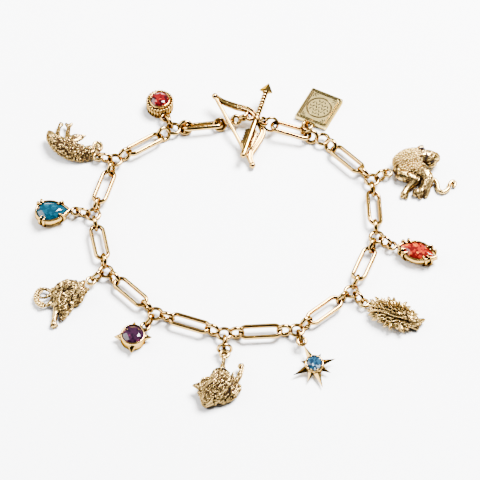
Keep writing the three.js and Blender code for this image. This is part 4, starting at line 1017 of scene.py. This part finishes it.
smooth_parts = grown(skin_tree, fused(
    strokes([(58, 302, 1.3, 0.95), (56, 311, 1.0, 0.68), (54.5, 319, 0.85, 0.55), (53.5, 324, 0.8, 0.7)],
            [(53, 323, 0.7, 0.5), (51, 326, 0.55, 0.33)],
            [(54, 324, 0.7, 0.5), (54, 327.2, 0.5, 0.32)],
            [(55, 323, 0.7, 0.5), (57, 325.5, 0.55, 0.3)])
    + stroke(beast_ring, 3)
    + strokes([(53, 290, 1.3, 0.6), (58, 293, 1.7, 0.8)],
              [(52, 304.5, 1.0, 0.42), (58, 304, 1.3, 0.6)],
              [(37, 296.5, 1.0, 0.34), (44, 297.5, 1.1, 0.3), (52, 294, 1.1, 0.4)],
              [(84, 289, 1.8, 0.6), (88, 289.5, 1.5, 0.4)])),
    Grain=2.0, Depth=0.1, Cells=0.0, Stretch=0.9, Comb=(0.2, 1, 0))
ears = fused(strokes([(82, 284, 3.0, 0.75), (84, 281, 3.1, 0.35)], [(73, 283, 3.5, 0.6), (73, 280.5, 3.7, 0.25)]),
             0.085, 3)
crumbs = []
for k in range(11):
    turn = math.radians(112 + 15 * k)
    for shift, size in ((1.5, 0.36), (-1.9, 0.24)):
        crumbs.append(ball(seen(tail_middle[0] + (tail_radius + shift) * math.cos(turn),
                                tail_middle[1] - (tail_radius + shift) * math.sin(turn), 1.0 + 0.15 * (k % 2)),
                           size, cast_gold, 2))
add_animal("curled_tail_charm", 4, [fur, smooth_parts, ears], crumbs)

# Charm 6: a boar lying on its belly, bristles swept back from the snout, tusks and a folded hind leg.
# It is cast in one piece, with long gaps between its tufts of hair, whose shade is painted in as dark lines.
boar_loop = loops[5] + Vector((0, play - 2 * inner["loop"], loop_high))
boar_body = grown(skin_tree, fused(strokes(
    [(220, 377, 2.3, 2.0), (221, 383, 2.6, 2.4), (216, 389, 2.5, 2.4), (209, 396, 2.0, 1.9)],
    [(207, 383, 1.8, 1.4), (204, 391, 1.7, 1.4)],
    [(230, 384, 1.7, 1.8), (230, 392, 1.4, 1.6), (222, 397, 1.3, 1.3)],
    [(236, 388, 1.3, 1.1)]), 0.085, 3), Grain=3.5, Depth=0.55, Cells=0.15, Stretch=0.78, Comb=(0.6, 0.8, 0.2))
boar_parts = grown(skin_tree, fused(strokes(
    [(208, 397, 1.9, 1.7), (206.5, 400.5, 1.3, 1.25), (206, 403, 0.95, 0.95)],
    [(202, 386.5, 2.3, 1.05), (198, 385.5, 2.3, 0.7), (192.8, 385, 2.1, 0.16)],
    [(213, 388, 3.6, 0.8), (212, 384.5, 4.3, 0.25)],
    [(230, 385, 1.7, 1.2), (235, 381, 1.6, 0.75), (239, 376, 1.5, 0.58), (241.5, 370, 1.5, 0.5),
     (241, 366, 1.5, 0.72)],
    [(230, 379, 2.2, 0.55), (233.5, 372, 2.2, 0.16)],
    [(234, 390, 1.2, 0.9), (238.5, 387, 1.1, 0.7)],
    [(222, 372, 2.0, 0.9), (223, 363, 1.8, 0.45), (224.3, 355.5, 1.5, 0.4)])),
    Grain=2.6, Depth=0.2, Cells=0.2, Stretch=0.8, Comb=(0.3, 1, 0))
tusks = strokes([(216.5, 396, 1.9, 0.42), (216.8, 400, 1.5, 0.36), (214.8, 404.5, 1.0, 0.14)],
                [(203.5, 399, 1.6, 0.32), (201.5, 403, 1.3, 0.13)])
# Painted shade: thin dark strokes lie in the gaps between the tufts, and two dark dots mark the eyes.
painted_gap_shade_and_eyes = strokes(
    [(212, 371.8, 3.45, 0.1), (217, 368.8, 3.7, 0.22), (224, 368.8, 3.7, 0.22), (229.5, 372.4, 3.2, 0.12)],
    [(231.5, 376, 3.0, 0.14), (231.8, 383, 3.05, 0.22), (229.5, 390, 2.8, 0.2), (226.5, 395, 2.3, 0.12)],
    [(203.5, 391.5, 3.3, 0.2)], [(210.5, 394, 3.7, 0.2)], steps=24, material=painted_shade_and_wash)
nostrils = [ball(seen(across, 404.6, 1.5), 0.2, painted_shade_and_wash, 2) for across in (204.6, 207.4)]
bristles = []
for k in range(26):
    turn = math.radians(20 + 145 * k / 25)
    root = (218 + 7.2 * math.cos(turn), 384 - 8.6 * math.sin(turn))
    tip = (218 + 10.6 * math.cos(turn), 384 - 13.2 * math.sin(turn))
    bristles += stroke([(*root, 3.1, 0.34), ((root[0] + tip[0]) / 2, (root[1] + tip[1]) / 2, 2.9, 0.3),
                        (*tip, 2.0, 0.12)], 3)
add_animal("boar_charm", 6, [boar_body, boar_parts, fused(bristles, 0.08, 1)],
           [*tusks, *painted_gap_shade_and_eyes, *nostrils], boar_loop)


# Charm 8: a hedgehog-like animal: leaf-shaped spines swept back all over it and a bare pointed snout.
# It is cast in one piece; longer spines stand out round its edge.
def sown(tree, inputs):
    """Points strewn over a surface, no two of them closer than the spacing."""
    return add_node(tree, "GeometryNodeDistributePointsOnFaces", {
        "Mesh": inputs["Geometry"], "Distance Min": inputs["Spacing"], "Density Max": 60.0,
        "Seed": inputs["Seed"]}, distribute_method="POISSON")


leaf_tree, leaf_in = new_tree("coat_of_leaves", Spacing=0.8, Size=1.0, Seed=3, Sweep=(-1, 0, 0.6))
leaf_points = sown(leaf_tree, leaf_in)
leaning = maths(leaf_tree, "ADD", leaf_points.outputs["Normal"], leaf_in["Sweep"], kind=vectors)
aimed = add_node(leaf_tree, "FunctionNodeAlignRotationToVector", {"Vector": leaning}, axis="Z")
blade = add_node(leaf_tree, "GeometryNodeMeshCone", {
    "Vertices": 8, "Side Segments": 3, "Radius Top": 0.03, "Radius Bottom": 0.38, "Depth": 1.5})
blade_shape = add_node(leaf_tree, "GeometryNodeTransform", {0: blade, "Scale": (1.0, 0.62, 1.0)})
leaf_size = add_node(leaf_tree, "FunctionNodeRandomValue", {2: 0.75, 3: 1.15, 8: 5}, data_type="FLOAT")
planted = add_node(leaf_tree, "GeometryNodeInstanceOnPoints", {
    "Points": leaf_points, "Instance": blade_shape, "Rotation": aimed,
    "Scale": maths(leaf_tree, "MULTIPLY", leaf_size.outputs[1], leaf_in["Size"])})
close_tree(leaf_tree, planted, cast_gold)

hedgehog_clay = fused(stroke([(378, 309, 1.5, 1.3), (386, 312, 1.8, 1.8), (395, 315, 1.9, 1.95),
                              (404, 318, 1.7, 1.6), (410, 320, 1.4, 1.2)]), 0.12, 3)
coat = grown(leaf_tree, hedgehog_clay, Spacing=0.62, Size=1.0, Seed=4, Sweep=(-0.75, 0.35, 0.25))
muzzle = grown(skin_tree, fused(strokes(
    [(406, 317, 1.8, 1.6), (413, 321, 1.6, 1.35), (418, 321.5, 1.3, 0.85), (423, 319.5, 1.1, 0.4)],
    [(411, 315, 2.6, 0.75), (412.5, 311, 2.7, 0.35)],
    [(413, 325.5, 1.0, 0.7), (417, 328, 0.7, 0.45)],
    [(398, 325, 0.9, 0.8), (400, 329, 0.6, 0.5)])),
    Grain=2.4, Depth=0.16, Cells=0.3, Stretch=0.7, Comb=(0.9, -0.4, 0))
eye_and_nose = [ball(seen(416, 318.5, 2.35), 0.22, painted_shade_and_wash, 2), ball(seen(424, 319.3, 1.2), 0.25, cast_gold, 2)]
edge_spines = []
body_middle, body_lean = (393, 313.5), math.radians(20)
for k in range(22):
    turn = math.radians(28 + 305 * k / 21)
    out_x = math.cos(turn) * (27 + 2.2 * math.sin(5 * k))
    out_y = math.sin(turn) * (15.5 + 1.6 * math.cos(4 * k))
    lean_x = out_x * math.cos(body_lean) + out_y * math.sin(body_lean)
    lean_y = out_x * math.sin(body_lean) - out_y * math.cos(body_lean)
    root = (body_middle[0] + lean_x * 0.55, body_middle[1] + lean_y * 0.5)
    tip = (body_middle[0] + lean_x, body_middle[1] + lean_y)
    edge_spines += stroke([(*root, 1.8, 0.55),
                           (root[0] * 0.35 + tip[0] * 0.65, root[1] * 0.35 + tip[1] * 0.65, 1.5 + 0.2 * (k % 2), 0.42),
                           (*tip, 1.1 + 0.5 * (k % 2), 0.12)], 4)
neck = stroke([(371, 303, 1.4, 0.45), (378, 307, 1.6, 0.7)], 5)
add_animal("spiny_charm", 8, [recast(hedgehog_clay), coat, muzzle, fused(edge_spines, 0.1, 1)],
           [*eye_and_nose, *neck])

# Charm 10: a lion-like animal lying down: a dome of round curls, a face with slit eyes at its end,
# two crossed forelegs with banded paws and a thin tail that ends in a curl.
curl_tree, curl_in = new_tree("coat_of_curls", Spacing=0.6, Size=0.36, Seed=2)
curl = add_node(curl_tree, "GeometryNodeMeshIcoSphere", {"Subdivisions": 2, "Radius": curl_in["Size"]})
curl_size = add_node(curl_tree, "FunctionNodeRandomValue", {2: 0.8, 3: 1.15, 8: 7}, data_type="FLOAT")
curls = add_node(curl_tree, "GeometryNodeInstanceOnPoints", {
    "Points": sown(curl_tree, curl_in), "Instance": curl, "Scale": curl_size.outputs[1]})
close_tree(curl_tree, curls, cast_gold)

dome = fused(strokes([(401, 162, 1.9, 1.8), (408, 160, 2.4, 2.3), (415, 158.5, 2.65, 2.25)],
                     [(404, 168, 1.8, 1.3), (413, 168, 2.1, 1.4), (420, 166.5, 2.2, 1.2)]), 0.12, 3)
mane = grown(curl_tree, dome, Spacing=0.44, Size=0.3, Seed=5)
face = grown(skin_tree, fused(strokes(
    [(422, 157, 3.1, 1.75), (429, 157.5, 2.8, 1.65), (435, 158, 2.4, 1.15)],
    [(436, 155, 2.6, 0.6)],
    [(420, 149, 3.5, 0.75), (422, 147, 3.7, 0.45)],
    [(431, 163, 2.0, 1.0), (434, 164, 1.6, 0.6)])),
    Grain=2.4, Depth=0.12, Cells=0.0, Stretch=0.85, Comb=(0.9, 0.2, 0.2))
forelegs = grown(skin_tree, fused(strokes(
    [(401, 175, 1.6, 1.3), (409, 177, 1.7, 1.3), (415, 180, 1.6, 1.1)],
    [(416, 180, 1.5, 1.1), (410, 186, 1.2, 0.85), (406, 190, 1.0, 0.75), (404, 194, 0.8, 0.8)],
    [(405, 193, 0.8, 0.6), (402, 196.5, 0.55, 0.42)],
    [(406, 194, 0.8, 0.6), (406.5, 197.5, 0.5, 0.4)],
    [(422, 172, 2.0, 1.6), (427, 178, 1.7, 1.4), (426, 186, 1.3, 1.15), (422, 191, 1.0, 1.05),
     (416, 193, 0.9, 0.9)],
    [(427, 190, 0.9, 0.8), (426, 195, 0.65, 0.55)],
    [(421, 193, 0.9, 0.75), (420, 197.5, 0.6, 0.5)],
    [(398, 171, 1.6, 1.0), (395, 169.5, 1.5, 0.6)]), 0.085, 2),
    Grain=1.7, Depth=0.13, Cells=0.0, Stretch=0.9, Comb=(0.35, 1, 0))
tail = fused(stroke([
    (428, 184, 1.3, 0.7), (433, 180, 1.2, 0.6), (436.5, 183, 0.9, 0.55), (438.5, 190, 0.65, 0.5),
    (443, 192, 0.6, 0.5), (448, 189, 0.6, 0.48), (449.5, 184, 0.6, 0.42), (452.5, 181.2, 0.6, 0.42),
    (455, 183, 0.6, 0.4), (454.3, 186, 0.6, 0.34), (452.4, 185.6, 0.6, 0.3)]))
# Painted shade: dark strokes stand for the shade in the slit eyes and in a third slit below them.
painted_slit_shade = strokes([(425.2, 152.4, 4.4, 0.16), (426.4, 156, 4.3, 0.44), (425.6, 159.6, 4.1, 0.16)],
                [(418.5, 149.4, 4.55, 0.14), (421.5, 148.6, 4.5, 0.32), (424.5, 149, 4.3, 0.14)],
                [(429, 162.5, 3.1, 0.12), (432.5, 161.5, 3.3, 0.2), (436, 159.5, 3.1, 0.12)], material=painted_shade_and_wash)
add_animal("lion_charm", 10, [recast(dome), mane, face, forelegs, recast(tail)], painted_slit_shade)
